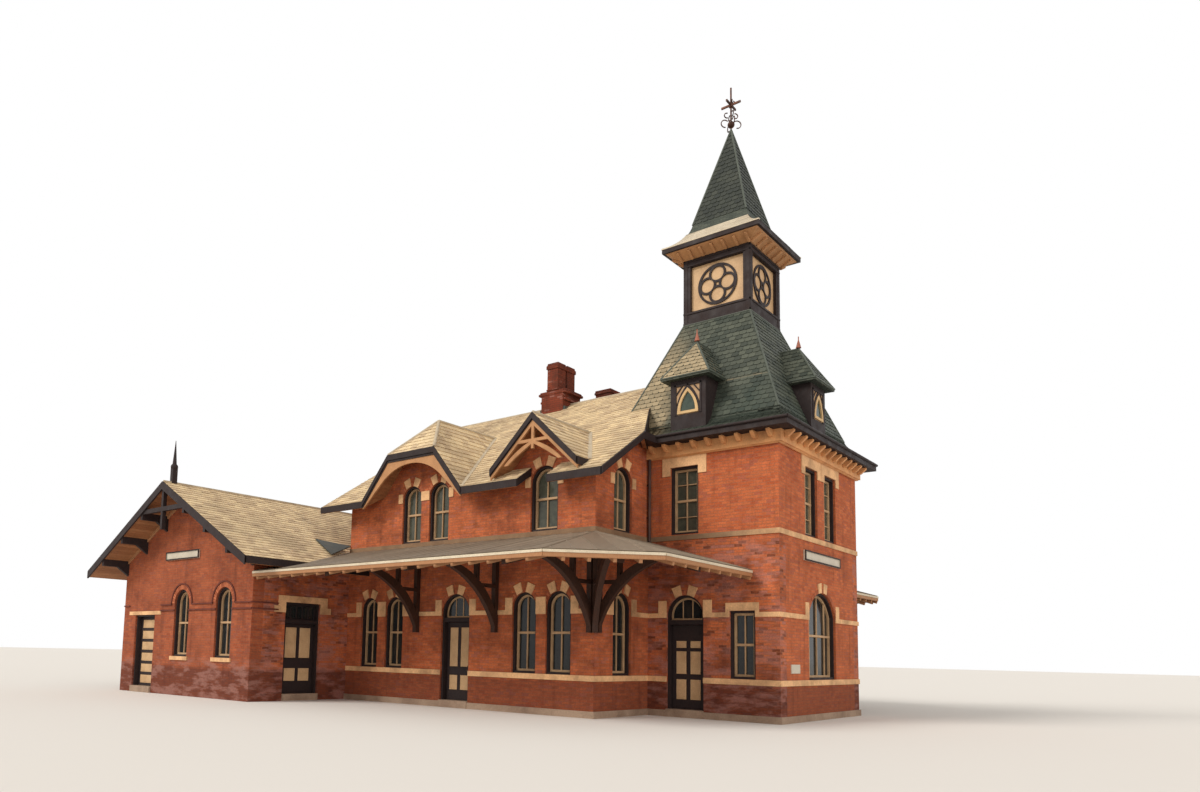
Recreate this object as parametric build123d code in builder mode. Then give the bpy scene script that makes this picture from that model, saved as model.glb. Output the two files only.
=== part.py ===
from build123d import *
from collections import namedtuple
from math import cos, radians, sin
import os

# Railway station building: a two-storey brick main block, a square tower with a mansard,
# cupola and spire at one end, a low cross wing at the other, and a canopy along each side.
# X runs along the building towards the tower, Y across it (the track side is -Y), Z is up.
# The origin is on the ground in the middle of the main block. All sizes are in millimetres.

# Plan
MAIN_LENGTH = 9430
MAIN_WIDTH = 10740
TOWER_REACH = 3660
TOWER_WIDTH = 5630
TOWER_DEPTH = 5060
WING_WIDTH = 7670
WING_LENGTH = 17800
WALL = 380

# Floors and stone courses, as heights above the ground
FLOOR_TOP = 200
FLOOR_THICK = 200
UPPER_FLOOR_TOP = 4250
PLINTH_TOP = 170
PLINTH_PROUD = 40
COURSE_PROUD = 25
SILL_COURSE = (900, 1040)
IMPOST_COURSE = (2580, 2700)
BELT_COURSE = (4630, 4760)

# Main roof: heights of the top surface, and overhangs beyond the walls
MAIN_EAVE = 6100
MAIN_RIDGE = 9970
MAIN_OVERHANG = 600
ROOF_START = 600
WING_END_OVERHANG = 800
TOWER_END_OVERHANG = 550
ROOF_DROP = 200

# Wall gable with clipped top on each long side, its middle this far from the wing's end
CLIP_IN = 3285
CLIP_HALF = 2070
CLIP_RIDGE = 8550
CLIP_EAVE = 7400
CLIP_RUN = 1140
CLIP_DROP = 240

# Small gabled wall dormer on each long side, its middle this far from the tower's end
DORMER_IN = 1585
DORMER_HALF = 1420
DORMER_EAVE = 6450
DORMER_RIDGE = 7800
DORMER_DROP = 200
DORMER_WALL_HALF = 1100
EAVE_GAP = 1000

# Wing roof
WING_EAVE = 4050
WING_RIDGE = 6660
WING_SIDE_OVERHANG = 950
WING_GABLE_OVERHANG = 900
WING_DROP = 200

# Tower
TOWER_WALL_TOP = 7200
EAVE_TOP = 7400
EAVE_OVERHANG_X = 450
EAVE_OVERHANG_Y = 540
CORNICE_BOTTOM = 6900
CORNICE_PROUD = 120
KNEE_HEIGHT = 7950
KNEE_HALF = 2380
MANSARD_TOP = 11250
MANSARD_DROP = 380
CUPOLA_HALF = 1020
CUPOLA_TOP = 13230
CUPOLA_POST = 200
CUPOLA_RAIL = 220
CUPOLA_BASE = 380
SPIRE_EAVE = 13560
SPIRE_EAVE_HALF = 1500
SPIRE_FASCIA = 130
SOFFIT_FOOT = 40
SOFFIT_HEAD = 400
SPIRE_KNEE = 14380
SPIRE_KNEE_HALF = 840
SPIRE_TOP = 17500
FINIAL_TOP = 18850

# Where the main roof stops against the tower, as plan points on the track side
NOTCH_INNER = (4350, 2200)
NOTCH_OUTER = (5265, 3970)

# Canopy: heights of the top surface, reach beyond the walls and the cut corner
CANOPY_WALL = 4620
CANOPY_EDGE = 3730
CANOPY_REACH_Y = 3560
CANOPY_REACH_X = 2950
CANOPY_CHAMFER = 1850
CANOPY_THICK = 150

# Canopy brackets
BRACKET_X = (-1520, 1520)
BRACKET_FOOT = 2100
BRACKET_REACH = 2350
TIMBER = 140
BRACE = 90
TIE_LOW = 3300

# Canopy's corner bracket
CORNER_REACH = 3000

# Boards along the gables
BOARD = 50
BOARD_DEEP = 170
WING_BOARD_DEEP = 250
WING_FINIAL_TOP = 8030
WING_FINIAL_BACK = 330
WING_FINIAL_POST = 160
WING_FINIAL_BALL = 7180

# Timbers under the wing's gables: lookouts with corbels, a collar and a pendant
LOOKOUTS = (1280, 2530, 3780)
LOOKOUT = 120
CORBEL = 400
WING_COLLAR = (5720, 5860)
WING_COLLAR_HALF = 1320
PENDANT_LOW = 5150
PENDANT = 110

# Carved boards under the edges of the clipped gables and the dormers
GABLE_WORK = 60
CLIP_BOARD = ((2040, 5860), (1250, 6560), (0, 7040))
DORMER_BOARD = 90
KING_POST = 6840
STICK = 80
STICK_COLLAR = 7060
STICK_COLLAR_HALF = 560
STICK_BRACE = (950, 6480)

# The cheek under the main roof's edge at the tower
CHEEK = 120

# Mansard dormers
SIDE_DORMER_REACH = 2700
FRONT_DORMER_REACH = 2500
DORMER_BODY = 1040
DORMER_BODY_WALL = 80
DORMER_BODY_TOP = 9020
DORMER_BODY_OVERHANG = 200
DORMER_BODY_RIDGE = 10200
DORMER_SILL = 7980

# Cupola tracery: four rings inside a larger one
LOBE = 230
LOBE_SPREAD = 308
ROUND = 605
TRACERY = 65
TRACERY_PROUD = 35
PANEL_SET = 100
PANEL_THICK = 50

# Downpipes
PIPE = 45
PIPE_OUT = 80
PIPE_CLIP_IN = 680
PIPE_CLIP = 50

# Chimneys
CHIMNEY_X = -430
CHIMNEY_Y = 30
BACK_CHIMNEY_X = 510
BACK_CHIMNEY_Y = 1500
BACK_CHIMNEY = 600
BACK_CHIMNEY_TOP = 10700
CHIMNEY_LENGTH = 1000
CHIMNEY_DEPTH = 900
CHIMNEY_SHOULDER = 10400
SHAFT = 440
SHAFT_GAP = 90
SHAFT_TOP = 11400

# Windows: places along the walls, sills, tops and widths
LOWER_SILL = 1040
LOWER_TOP = 3170
UPPER_SILL = 4760
UPPER_TOP = 6500
SHOULDER_TOP = 6480
WEST_WINDOWS = (1055, 2175)
WEST_WINDOW = 760
EAST_WINDOWS = (1105, 2225)
EAST_WINDOW = 800
SHOULDER_IN = 1270
SHOULDER_WINDOW = 860
SHOULDER_RISE = 420
CLIP_WINDOWS = (-490, 650)
CLIP_WINDOW = 800
DORMER_WINDOW_SHIFT = -40
DORMER_WINDOW = 900
TOWER_WINDOW_IN = 965
TOWER_WINDOW = 680
TOWER_WINDOW_TOP = 2740
TOWER_UPPER_IN = 2575
TOWER_UPPER_WINDOW = 820
TOWER_UPPER_SILL = 4780
TOWER_UPPER_TOP = 6600
FRONT_WINDOW = 1960
FRONT_WINDOW_TOP = 3340
FRONT_WINDOW_RISE = 640
FRONT_UPPER_APART = 1380
FRONT_UPPER_WINDOW = 880
WING_SILL = 1220
WING_TOP = 3330
WING_WINDOW = 880
WING_WINDOWS = (-60, 2360)
WING_BACK_APART = 5200
FRAME_WIDTH = 60
FRAME_DEPTH = 160
FRAME_SET = 60
SASH_WIDTH = 55
SASH_DEPTH = 50
SASH_SET = 150
GLASS = 10

# Doors: places along the walls, tops and widths
HALL_DOOR_X = 0
HALL_DOOR = 1080
HALL_DOOR_TOP = 3190
TOWER_DOOR_IN = 2555
TOWER_DOOR = 1060
TOWER_DOOR_TOP = 3170
WING_SIDE_DOOR_IN = 1790
WING_SIDE_DOOR = 1270
WING_SIDE_DOOR_TOP = 2920
WING_GABLE_DOOR_SHIFT = -2380
WING_GABLE_DOOR = 1300
WING_GABLE_DOOR_TOP = 2550
LEAF_TOP = 2400
WING_SIDE_LEAF_TOP = 2290
WING_GABLE_LEAF_TOP = 2490
STILE = 110
RAIL = 90
HALL_PANELS = ((490, 910), (1140, 2250))
TOWER_PANELS = ((450, 980), (1110, 1710), (1790, 1980))
SIDE_PANELS = ((570, 960), (1260, 2180))
KNOB_HEIGHT = 950

# Stone round the openings
SPRINGER = 240
SPRINGER_TOP = 3030
UPPER_SPRINGER = 180
UPPER_SPRINGER_DROP = 90
UPPER_SPRINGER_RISE = 190
VOUSSOIR_TURN = 22
VOUSSOIR_FOOT = 100
VOUSSOIR_HEAD = 130
VOUSSOIR_LONG = 260
LINTEL_PAST = 100
LINTEL_TOP = 2940
UPPER_LINTEL_PAST = 235
UPPER_LINTEL_LOW = 6380
SURROUND_PAST = 265
SURROUND_TOP = 3110
SURROUND_LOW = 2610
SURROUND_FOOT = 140
SURROUND_FOOT_TOP = 2800
GABLE_LINTEL_PAST = 400
GABLE_LINTEL = 120
SILL_PAST = 80
SILL_DEEP = 120

# Signs and the plate beside the front window
SIGN_THICK = 60
SIGN_RIM = 35
SIGN_SUNK = 20
FRONT_SIGN = (1270, 4110, 4380)
WING_SIGN = (985, 4300, 4570)
WING_SIGN_SHIFT = -140
PLATE = (-2190, -1630, 1210, 1430)

LEAF_THICK = 45
DOOR_SET = 200
DOOR_FRAME = 60
DOOR_GAP = 8
SILL_STEP = 60
TRANSOM = 120
HINGE_RADIUS = 9
HINGE_PIN = 5
HINGE_PLAY = 0.3
HINGE_HEIGHT = 90
HINGE_STEP = 6

# Places worked out from the plan
main_x0 = -MAIN_LENGTH / 2
main_x1 = MAIN_LENGTH / 2
main_y = MAIN_WIDTH / 2
front_x = main_x1 + TOWER_REACH
tower_x = front_x - TOWER_DEPTH / 2
tower_y = TOWER_WIDTH / 2
wing_x0 = main_x0 - WING_WIDTH
wing_x = main_x0 - WING_WIDTH / 2
wing_y = WING_LENGTH / 2
main_eave_y = main_y + MAIN_OVERHANG
main_pitch = (MAIN_RIDGE - MAIN_EAVE) / main_eave_y
wing_half_roof = WING_WIDTH / 2 + WING_SIDE_OVERHANG
clip_x = main_x0 + CLIP_IN
dormer_x = main_x1 - DORMER_IN
SKY = FINIAL_TOP + MAIN_RIDGE

# Wall faces, seen from outside: x along the wall, y up, z out
track_face = Plane((0, -main_y, 0), (1, 0, 0), (0, -1, 0))
shoulder_face = Plane((main_x1, 0, 0), (0, 1, 0), (1, 0, 0))
tower_side_face = Plane((0, -tower_y, 0), (1, 0, 0), (0, -1, 0))
front_face = Plane((front_x, 0, 0), (0, 1, 0), (1, 0, 0))
wing_gable_face = Plane((0, -wing_y, 0), (1, 0, 0), (0, -1, 0))
wing_side_face = Plane((main_x0, 0, 0), (0, 1, 0), (1, 0, 0))
wing_back_face = Plane((wing_x0, 0, 0), (0, -1, 0), (-1, 0, 0))

# Openings: u is along the wall face, sill and top are heights, rise is that of the arch
Opening = namedtuple("Opening", "face u sill width top rise")

lower_windows = [
    *[Opening(track_face, main_x0 + x, LOWER_SILL, WEST_WINDOW, LOWER_TOP, WEST_WINDOW / 2)
      for x in WEST_WINDOWS],
    *[Opening(track_face, main_x1 - x, LOWER_SILL, EAST_WINDOW, LOWER_TOP, EAST_WINDOW / 2)
      for x in EAST_WINDOWS],
    Opening(shoulder_face, SHOULDER_IN - main_y, LOWER_SILL, SHOULDER_WINDOW, LOWER_TOP, SHOULDER_RISE),
    Opening(tower_side_face, front_x - TOWER_WINDOW_IN, LOWER_SILL, TOWER_WINDOW, TOWER_WINDOW_TOP, 0),
    *[Opening(wing_gable_face, wing_x + x, WING_SILL, WING_WINDOW, WING_TOP, WING_WINDOW / 2)
      for x in WING_WINDOWS],
]
lower_end_windows = [
    Opening(front_face, 0, LOWER_SILL, FRONT_WINDOW, FRONT_WINDOW_TOP, FRONT_WINDOW_RISE),
    *[Opening(wing_back_face, y, WING_SILL, WING_WINDOW, WING_TOP, WING_WINDOW / 2)
      for y in (-WING_BACK_APART, 0, WING_BACK_APART)],
]
upper_windows = [
    *[Opening(track_face, clip_x + x, UPPER_SILL, CLIP_WINDOW, UPPER_TOP, CLIP_WINDOW / 2)
      for x in CLIP_WINDOWS],
    Opening(track_face, dormer_x + DORMER_WINDOW_SHIFT, UPPER_SILL, DORMER_WINDOW, UPPER_TOP,
            DORMER_WINDOW / 2),
    Opening(shoulder_face, SHOULDER_IN - main_y, UPPER_SILL, SHOULDER_WINDOW, SHOULDER_TOP, SHOULDER_RISE),
    Opening(tower_side_face, front_x - TOWER_UPPER_IN, TOWER_UPPER_SILL, TOWER_UPPER_WINDOW,
            TOWER_UPPER_TOP, 0),
]
upper_end_windows = [
    Opening(front_face, y, TOWER_UPPER_SILL, FRONT_UPPER_WINDOW, TOWER_UPPER_TOP, 0)
    for y in (-FRONT_UPPER_APART / 2, FRONT_UPPER_APART / 2)
]
hall_doorway = Opening(track_face, HALL_DOOR_X, FLOOR_TOP, HALL_DOOR, HALL_DOOR_TOP, HALL_DOOR / 2)
tower_doorway = Opening(tower_side_face, front_x - TOWER_DOOR_IN, FLOOR_TOP, TOWER_DOOR, TOWER_DOOR_TOP,
                        TOWER_DOOR / 2)
wing_side_doorway = Opening(wing_side_face, WING_SIDE_DOOR_IN - wing_y, FLOOR_TOP, WING_SIDE_DOOR,
                            WING_SIDE_DOOR_TOP, 0)
wing_gable_doorway = Opening(wing_gable_face, wing_x + WING_GABLE_DOOR_SHIFT, FLOOR_TOP, WING_GABLE_DOOR,
                             WING_GABLE_DOOR_TOP, 0)
doorways = [hall_doorway, tower_doorway, wing_side_doorway, wing_gable_doorway]
leaf_tops = {
    hall_doorway: LEAF_TOP, tower_doorway: LEAF_TOP,
    wing_side_doorway: WING_SIDE_LEAF_TOP, wing_gable_doorway: WING_GABLE_LEAF_TOP,
}


def block(x0, x1, y0, y1, z0, z1, mode=Mode.ADD):
    """A box between its lowest and highest corner."""
    with Locations(((x0 + x1) / 2, (y0 + y1) / 2, (z0 + z1) / 2)):
        Box(x1 - x0, y1 - y0, z1 - z0, mode=mode)


def mirrored():
    """Adds the same pieces on the far side."""
    mirror(about=Plane.XZ)


def outline(opening, grow=0, mode=Mode.ADD):
    """The opening's outline, drawn on its wall face and grown all round."""
    half = opening.width / 2 + grow
    low = opening.sill - grow
    high = opening.top + grow
    if opening.rise:
        spring = opening.top - opening.rise
        with BuildLine() as edge:
            Polyline(
                (opening.u - half, spring), (opening.u - half, low),
                (opening.u + half, low), (opening.u + half, spring),
            )
            ThreePointArc((opening.u + half, spring), (opening.u, high), (opening.u - half, spring))
        make_face(edge.line, mode)
    else:
        with Locations((opening.u, (low + high) / 2)):
            Rectangle(2 * half, high - low, mode=mode)


def cut(openings, depth=WALL, proud=0):
    """Cuts the openings through a wall, and through what stands proud of it."""
    for opening in openings:
        with BuildSketch(opening.face.offset(proud)) as profile:
            outline(opening)
        extrude(profile.sketch, amount=-(depth + proud), mode=Mode.SUBTRACT)


def window_ring(opening, inset, width, near, far):
    """A frame that follows the opening's outline, between two depths behind the wall face."""
    with BuildSketch(opening.face.offset(-far)) as profile:
        outline(opening, -inset)
        outline(opening, -inset - width, Mode.SUBTRACT)
    extrude(profile.sketch, amount=far - near)


def gable_outline(half, eave, ridge, low, centre=0):
    """A gable's outline, closed down to the low line."""
    with BuildLine() as edge:
        Polyline(
            (centre - half, low), (centre - half, eave), (centre, ridge),
            (centre + half, eave), (centre + half, low), close=True,
        )
    make_face(edge.line)


# Filled shapes under the roofs. They shape the walls, and two of them make a roof.
def main_filled(drop):
    with BuildPart() as filled:
        with BuildSketch(Plane.YZ.offset(main_x0 - WING_END_OVERHANG)):
            gable_outline(main_eave_y, MAIN_EAVE - drop, MAIN_RIDGE - drop, -drop)
        extrude(amount=MAIN_LENGTH + WING_END_OVERHANG + TOWER_END_OVERHANG)
    return filled.part


def wing_filled(drop):
    with BuildPart() as filled:
        with BuildSketch(Plane.XZ.offset(-wing_y - WING_GABLE_OVERHANG)):
            gable_outline(wing_half_roof, WING_EAVE - drop, WING_RIDGE - drop, -drop, wing_x)
        extrude(amount=WING_LENGTH + 2 * WING_GABLE_OVERHANG)
    return filled.part


def clip_filled(drop):
    """The wall gable on the track side, its top clipped by a small hip."""
    with BuildPart() as filled:
        with BuildSketch(Plane.XZ.offset(main_eave_y)):
            gable_outline(CLIP_HALF, MAIN_EAVE - drop, CLIP_RIDGE - drop, UPPER_FLOOR_TOP, clip_x)
        extrude(amount=-main_eave_y + ROOF_START)
        with BuildSketch(Plane.YZ.offset(clip_x - MAIN_LENGTH / 2)):
            with BuildLine():
                Polyline(
                    (-main_eave_y, CLIP_EAVE - drop), (CLIP_RUN - main_eave_y, CLIP_RIDGE - drop),
                    (CLIP_RUN - main_eave_y, SKY), (-main_eave_y, SKY), close=True,
                )
            make_face()
        extrude(amount=MAIN_LENGTH, mode=Mode.SUBTRACT)
    return filled.part


def dormer_filled(drop, low):
    with BuildPart() as filled:
        with BuildSketch(Plane.XZ.offset(main_eave_y)):
            gable_outline(DORMER_HALF, DORMER_EAVE - drop, DORMER_RIDGE - drop, low, dormer_x)
        extrude(amount=-main_eave_y + ROOF_START)
    return filled.part


def bell_outline(centre, half, foot, knee_half, knee, top_half, top):
    """One side view of a steep roof with a curved foot, from its flat base to its flat top."""
    sag = 0.38
    bend_out = knee_half + sag * (half - knee_half)
    bend_down = knee - (1 - sag) * (knee - foot)
    with BuildLine() as edge:
        Line((centre - half, foot), (centre + half, foot))
        ThreePointArc((centre + half, foot), (centre + bend_out, bend_down), (centre + knee_half, knee))
        if top_half:
            Polyline(
                (centre + knee_half, knee), (centre + top_half, top),
                (centre - top_half, top), (centre - knee_half, knee),
            )
        else:
            Polyline((centre + knee_half, knee), (centre, top), (centre - knee_half, knee))
        ThreePointArc((centre - knee_half, knee), (centre - bend_out, bend_down), (centre - half, foot))
    make_face(edge.line)


def bell_roof(half_x, half_y, foot, knee_half, knee, top_half, top):
    """A square roof as the meeting of its two side views, so that its hips mitre."""
    with BuildPart() as roof:
        with BuildSketch(Plane.XZ.offset(half_y)):
            bell_outline(tower_x, half_x, foot, knee_half, knee, top_half, top)
        extrude(amount=-2 * half_y)
        with BuildSketch(Plane.YZ.offset(tower_x - half_x)):
            bell_outline(0, half_y, foot, knee_half, knee, top_half, top)
        extrude(amount=2 * half_x, mode=Mode.INTERSECT)
    return roof.part


main_under = main_filled(ROOF_DROP)
main_over = main_filled(0)
wing_under = wing_filled(WING_DROP)
wing_over = wing_filled(0)
clip_under = clip_filled(CLIP_DROP)
clip_over = clip_filled(0)
dormer_over = dormer_filled(0, DORMER_EAVE - DORMER_DROP)
dormer_under = dormer_filled(DORMER_DROP, UPPER_FLOOR_TOP)

# The dormer's wall and attic are narrower than its roof
with BuildPart() as dormer_room:
    add(dormer_under)
    block(dormer_x - DORMER_WALL_HALF, dormer_x + DORMER_WALL_HALF, -main_y, 0, 0, SKY, Mode.INTERSECT)

# What the main roof leaves open for the tower, as a tall prism
with BuildPart() as tower_notch:
    with BuildSketch():
        with BuildLine():
            Polyline(
                (NOTCH_INNER[0], -NOTCH_INNER[1]), (NOTCH_OUTER[0], -NOTCH_OUTER[1]),
                (front_x + main_y, -NOTCH_OUTER[1]), (front_x + main_y, NOTCH_OUTER[1]),
                (NOTCH_OUTER[0], NOTCH_OUTER[1]), (NOTCH_INNER[0], NOTCH_INNER[1]), close=True,
            )
        make_face()
    extrude(amount=SKY)

# The wall shape under all the roofs of the main block
with BuildPart() as over_tower:
    add(tower_notch.part)
    block(main_x0, front_x + main_y, -SKY, SKY, 0, TOWER_WALL_TOP, Mode.SUBTRACT)

with BuildPart() as under_roofs:
    add(main_under)
    add(clip_under)
    add(dormer_room.part)
    mirrored()
    add(over_tower.part, mode=Mode.SUBTRACT)

track_openings = [o for o in lower_windows + upper_windows if o.face is track_face]
shoulder_openings = [o for o in lower_windows + upper_windows if o.face is shoulder_face]
side_openings = [o for o in lower_windows + upper_windows if o.face is tower_side_face]
front_openings = [o for o in lower_end_windows + upper_end_windows if o.face is front_face]
gable_openings = [o for o in lower_windows if o.face is wing_gable_face]
back_openings = [o for o in lower_end_windows if o.face is wing_back_face]

storey = BELT_COURSE[0]
hall_head = hall_doorway.top - hall_doorway.rise
hall_half = hall_doorway.width / 2
tower_head = tower_doorway.top - tower_doorway.rise
tower_jambs = (tower_doorway.u - tower_doorway.width / 2, tower_doorway.u + tower_doorway.width / 2)

# Main block walls
with BuildPart() as main_track_wall_lower:
    block(main_x0, main_x1, -main_y, -main_y + WALL, 0, storey)
    block(-hall_half, hall_half, -main_y, -main_y + WALL, 0, storey, Mode.SUBTRACT)
    cut(track_openings)

with BuildPart() as main_track_wall_over_door:
    block(-hall_half, hall_half, -main_y, -main_y + WALL, hall_head, storey)
    cut([hall_doorway])

with BuildPart() as main_track_wall_upper:
    block(main_x0, main_x1, -main_y, -main_y + WALL, storey, SKY)
    add(under_roofs.part, mode=Mode.INTERSECT)
    cut(track_openings)

with BuildPart() as main_far_wall:
    block(main_x0, main_x1, -main_y, -main_y + WALL, 0, SKY)
    add(under_roofs.part, mode=Mode.INTERSECT)
    cut(track_openings + [hall_doorway._replace(sill=0)])
    mirror(about=Plane.XZ, mode=Mode.REPLACE)

with BuildPart() as shoulder_walls:
    block(main_x1 - WALL, main_x1, -main_y + WALL, -tower_y, 0, SKY)
    add(under_roofs.part, mode=Mode.INTERSECT)
    cut(shoulder_openings)
    mirrored()

with BuildPart() as main_end_wall:
    block(main_x0, main_x0 + WALL, -main_y + WALL, main_y - WALL, 0, SKY)
    add(under_roofs.part, mode=Mode.INTERSECT)

# Tower walls
with BuildPart() as tower_track_wall:
    block(main_x1 - WALL, front_x, -tower_y, -tower_y + WALL, 0, TOWER_WALL_TOP)
    block(tower_jambs[0], tower_jambs[1], -tower_y, -tower_y + WALL, 0, TOWER_WALL_TOP, Mode.SUBTRACT)
    cut(side_openings)

with BuildPart() as tower_wall_over_door:
    block(tower_jambs[0], tower_jambs[1], -tower_y, -tower_y + WALL, tower_head, TOWER_WALL_TOP)
    cut(side_openings + [tower_doorway])

with BuildPart() as tower_far_wall:
    block(main_x1 - WALL, front_x, -tower_y, -tower_y + WALL, 0, TOWER_WALL_TOP)
    cut(side_openings + [tower_doorway._replace(sill=0)])
    mirror(about=Plane.XZ, mode=Mode.REPLACE)

with BuildPart() as tower_front_wall:
    block(front_x - WALL, front_x, -tower_y + WALL, tower_y - WALL, 0, TOWER_WALL_TOP)
    cut(front_openings)

# Wing walls
gable_door_x = wing_gable_doorway.u
gable_door_half = wing_gable_doorway.width / 2
with BuildPart() as wing_track_gable:
    block(wing_x0, main_x0, -wing_y, -wing_y + WALL, 0, SKY)
    add(wing_under, mode=Mode.INTERSECT)
    block(gable_door_x - gable_door_half, gable_door_x + gable_door_half,
          -wing_y, -wing_y + WALL, 0, SKY, Mode.SUBTRACT)
    cut(gable_openings)

with BuildPart() as wing_gable_over_door:
    block(gable_door_x - gable_door_half, gable_door_x + gable_door_half,
          -wing_y, -wing_y + WALL, wing_gable_doorway.top, SKY)
    add(wing_under, mode=Mode.INTERSECT)

with BuildPart() as wing_far_gable:
    block(wing_x0, main_x0, -wing_y, -wing_y + WALL, 0, SKY)
    add(wing_under, mode=Mode.INTERSECT)
    cut(gable_openings + [wing_gable_doorway._replace(sill=0)])
    mirror(about=Plane.XZ, mode=Mode.REPLACE)

side_jambs = (
    wing_side_doorway.u - wing_side_doorway.width / 2,
    wing_side_doorway.u + wing_side_doorway.width / 2,
)
with BuildPart() as wing_side_wall:
    block(main_x0 - WALL, main_x0, -wing_y + WALL, -main_y + WALL, 0, SKY)
    add(wing_under, mode=Mode.INTERSECT)
    block(main_x0 - WALL, main_x0, side_jambs[0], side_jambs[1], 0, SKY, Mode.SUBTRACT)

with BuildPart() as wing_side_over_door:
    block(main_x0 - WALL, main_x0, side_jambs[0], side_jambs[1], wing_side_doorway.top, SKY)
    add(wing_under, mode=Mode.INTERSECT)

with BuildPart() as wing_far_side_wall:
    block(main_x0 - WALL, main_x0, -wing_y + WALL, -main_y + WALL, 0, SKY)
    add(wing_under, mode=Mode.INTERSECT)
    cut([wing_side_doorway._replace(sill=0)])
    mirror(about=Plane.XZ, mode=Mode.REPLACE)

with BuildPart() as wing_back_wall:
    block(wing_x0, wing_x0 + WALL, -wing_y + WALL, wing_y - WALL, 0, SKY)
    add(wing_under, mode=Mode.INTERSECT)
    cut(back_openings)

# Floors
with BuildPart() as ground_floor:
    block(main_x0 + WALL, main_x1 - WALL, -main_y + WALL, main_y - WALL, 0, FLOOR_TOP)
    block(main_x1 - WALL, front_x - WALL, -tower_y + WALL, tower_y - WALL, 0, FLOOR_TOP)
    block(wing_x0 + WALL, main_x0 - WALL, -wing_y + WALL, wing_y - WALL, 0, FLOOR_TOP)
    block(main_x0 - WALL, main_x0, -main_y + WALL, main_y - WALL, 0, FLOOR_TOP)

with BuildPart() as upper_floor:
    low = UPPER_FLOOR_TOP - FLOOR_THICK
    block(main_x0 + WALL, main_x1 - WALL, -main_y + WALL, main_y - WALL, low, UPPER_FLOOR_TOP)
    block(main_x1 - WALL, front_x - WALL, -tower_y + WALL, tower_y - WALL, low, UPPER_FLOOR_TOP)

# Door sills fill the doorways from the ground to the floor, and step out a little
with BuildPart() as door_sills:
    for doorway in doorways:
        with BuildSketch(doorway.face.offset(-WALL)):
            with Locations((doorway.u, FLOOR_TOP / 2)):
                Rectangle(doorway.width, FLOOR_TOP)
        extrude(amount=WALL + SILL_STEP)
    mirrored()

footprint = [
    (main_x0, -main_y), (main_x1, -main_y), (main_x1, -tower_y), (front_x, -tower_y),
    (front_x, tower_y), (main_x1, tower_y), (main_x1, main_y), (main_x0, main_y),
]


def course(low, high, proud, gaps):
    """A stone course round the main block and the tower, open at the given openings."""
    with BuildSketch(Plane.XY.offset(low)) as profile:
        with BuildLine():
            Polyline(*footprint, close=True)
        make_face()
        offset(amount=proud, kind=Kind.INTERSECTION)
        with BuildLine():
            Polyline(*footprint, close=True)
        make_face(mode=Mode.SUBTRACT)
    extrude(profile.sketch, amount=high - low)
    for gap in gaps:
        with BuildSketch(gap.face) as profile:
            outline(gap)
        extrude(profile.sketch, amount=proud, mode=Mode.SUBTRACT)
    block(main_x0, front_x + proud, -main_y - proud, 0, low, high, Mode.INTERSECT)
    mirrored()


with BuildPart() as stone_plinth:
    grounded = [doorway._replace(sill=0) for doorway in (hall_doorway, tower_doorway)]
    course(0, PLINTH_TOP, PLINTH_PROUD, grounded)

# Windows: dark outer frames in the walls, sashes inside them and a sheet of glass in each
def each_window(shape, sided, central):
    """Draws the shape for the windows of the track side and, mirrored, for those opposite."""
    for opening in sided:
        shape(opening)
    mirrored()
    for opening in central:
        shape(opening)


def frame(opening):
    window_ring(opening, 0, FRAME_WIDTH, FRAME_SET, FRAME_SET + FRAME_DEPTH)


def sash(opening):
    window_ring(opening, FRAME_WIDTH, SASH_WIDTH, SASH_SET, SASH_SET + SASH_DEPTH)
    with BuildSketch(opening.face.offset(-SASH_SET - SASH_DEPTH)) as profile:
        with Locations((opening.u, (opening.sill + opening.top) / 2)):
            Rectangle(opening.width - 2 * FRAME_WIDTH, SASH_WIDTH)
    extrude(profile.sketch, amount=SASH_DEPTH)


def pane(opening):
    with BuildSketch(opening.face.offset(-SASH_SET - SASH_DEPTH - GLASS)) as profile:
        outline(opening, -FRAME_WIDTH)
    extrude(profile.sketch, amount=GLASS)


with BuildPart() as window_frames_lower:
    each_window(frame, lower_windows, lower_end_windows)
with BuildPart() as window_frames_upper:
    each_window(frame, upper_windows, upper_end_windows)
with BuildPart() as window_sashes_lower:
    each_window(sash, lower_windows, lower_end_windows)
with BuildPart() as window_sashes_upper:
    each_window(sash, upper_windows, upper_end_windows)
with BuildPart() as window_glass_lower:
    each_window(pane, lower_windows, lower_end_windows)
with BuildPart() as window_glass_upper:
    each_window(pane, upper_windows, upper_end_windows)

# Doors
leaf_back = DOOR_SET + LEAF_THICK
hinge_back = leaf_back + HINGE_RADIUS + HINGE_STEP


def clear_way(doorway):
    """The clear opening inside a door's frame."""
    return doorway._replace(
        width=doorway.width - 2 * DOOR_FRAME, top=doorway.top - DOOR_FRAME,
        rise=max(0, doorway.rise - DOOR_FRAME),
    )


def door_frame(doorway):
    clear = clear_way(doorway)
    with BuildSketch(doorway.face.offset(-leaf_back)) as profile:
        outline(doorway)
        outline(clear, 0, Mode.SUBTRACT)
        if clear.top > leaf_tops[doorway] + TRANSOM:
            with Locations((doorway.u, leaf_tops[doorway] + TRANSOM / 2)):
                Rectangle(clear.width, TRANSOM)
    extrude(profile.sketch, amount=leaf_back - FRAME_SET)


def fanlight(doorway):
    """The glass over a door's transom."""
    clear = clear_way(doorway)
    with BuildSketch(doorway.face.offset(-DOOR_SET)) as profile:
        outline(clear._replace(sill=leaf_tops[doorway] + TRANSOM))
    extrude(profile.sketch, amount=GLASS)


def hinge_u(doorway):
    return doorway.u - doorway.width / 2 + DOOR_FRAME + DOOR_GAP / 2


def hinge_heights(doorway):
    leaf = leaf_tops[doorway] - doorway.sill
    return [doorway.sill + leaf * share for share in (0.14, 0.5, 0.86)]


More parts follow.
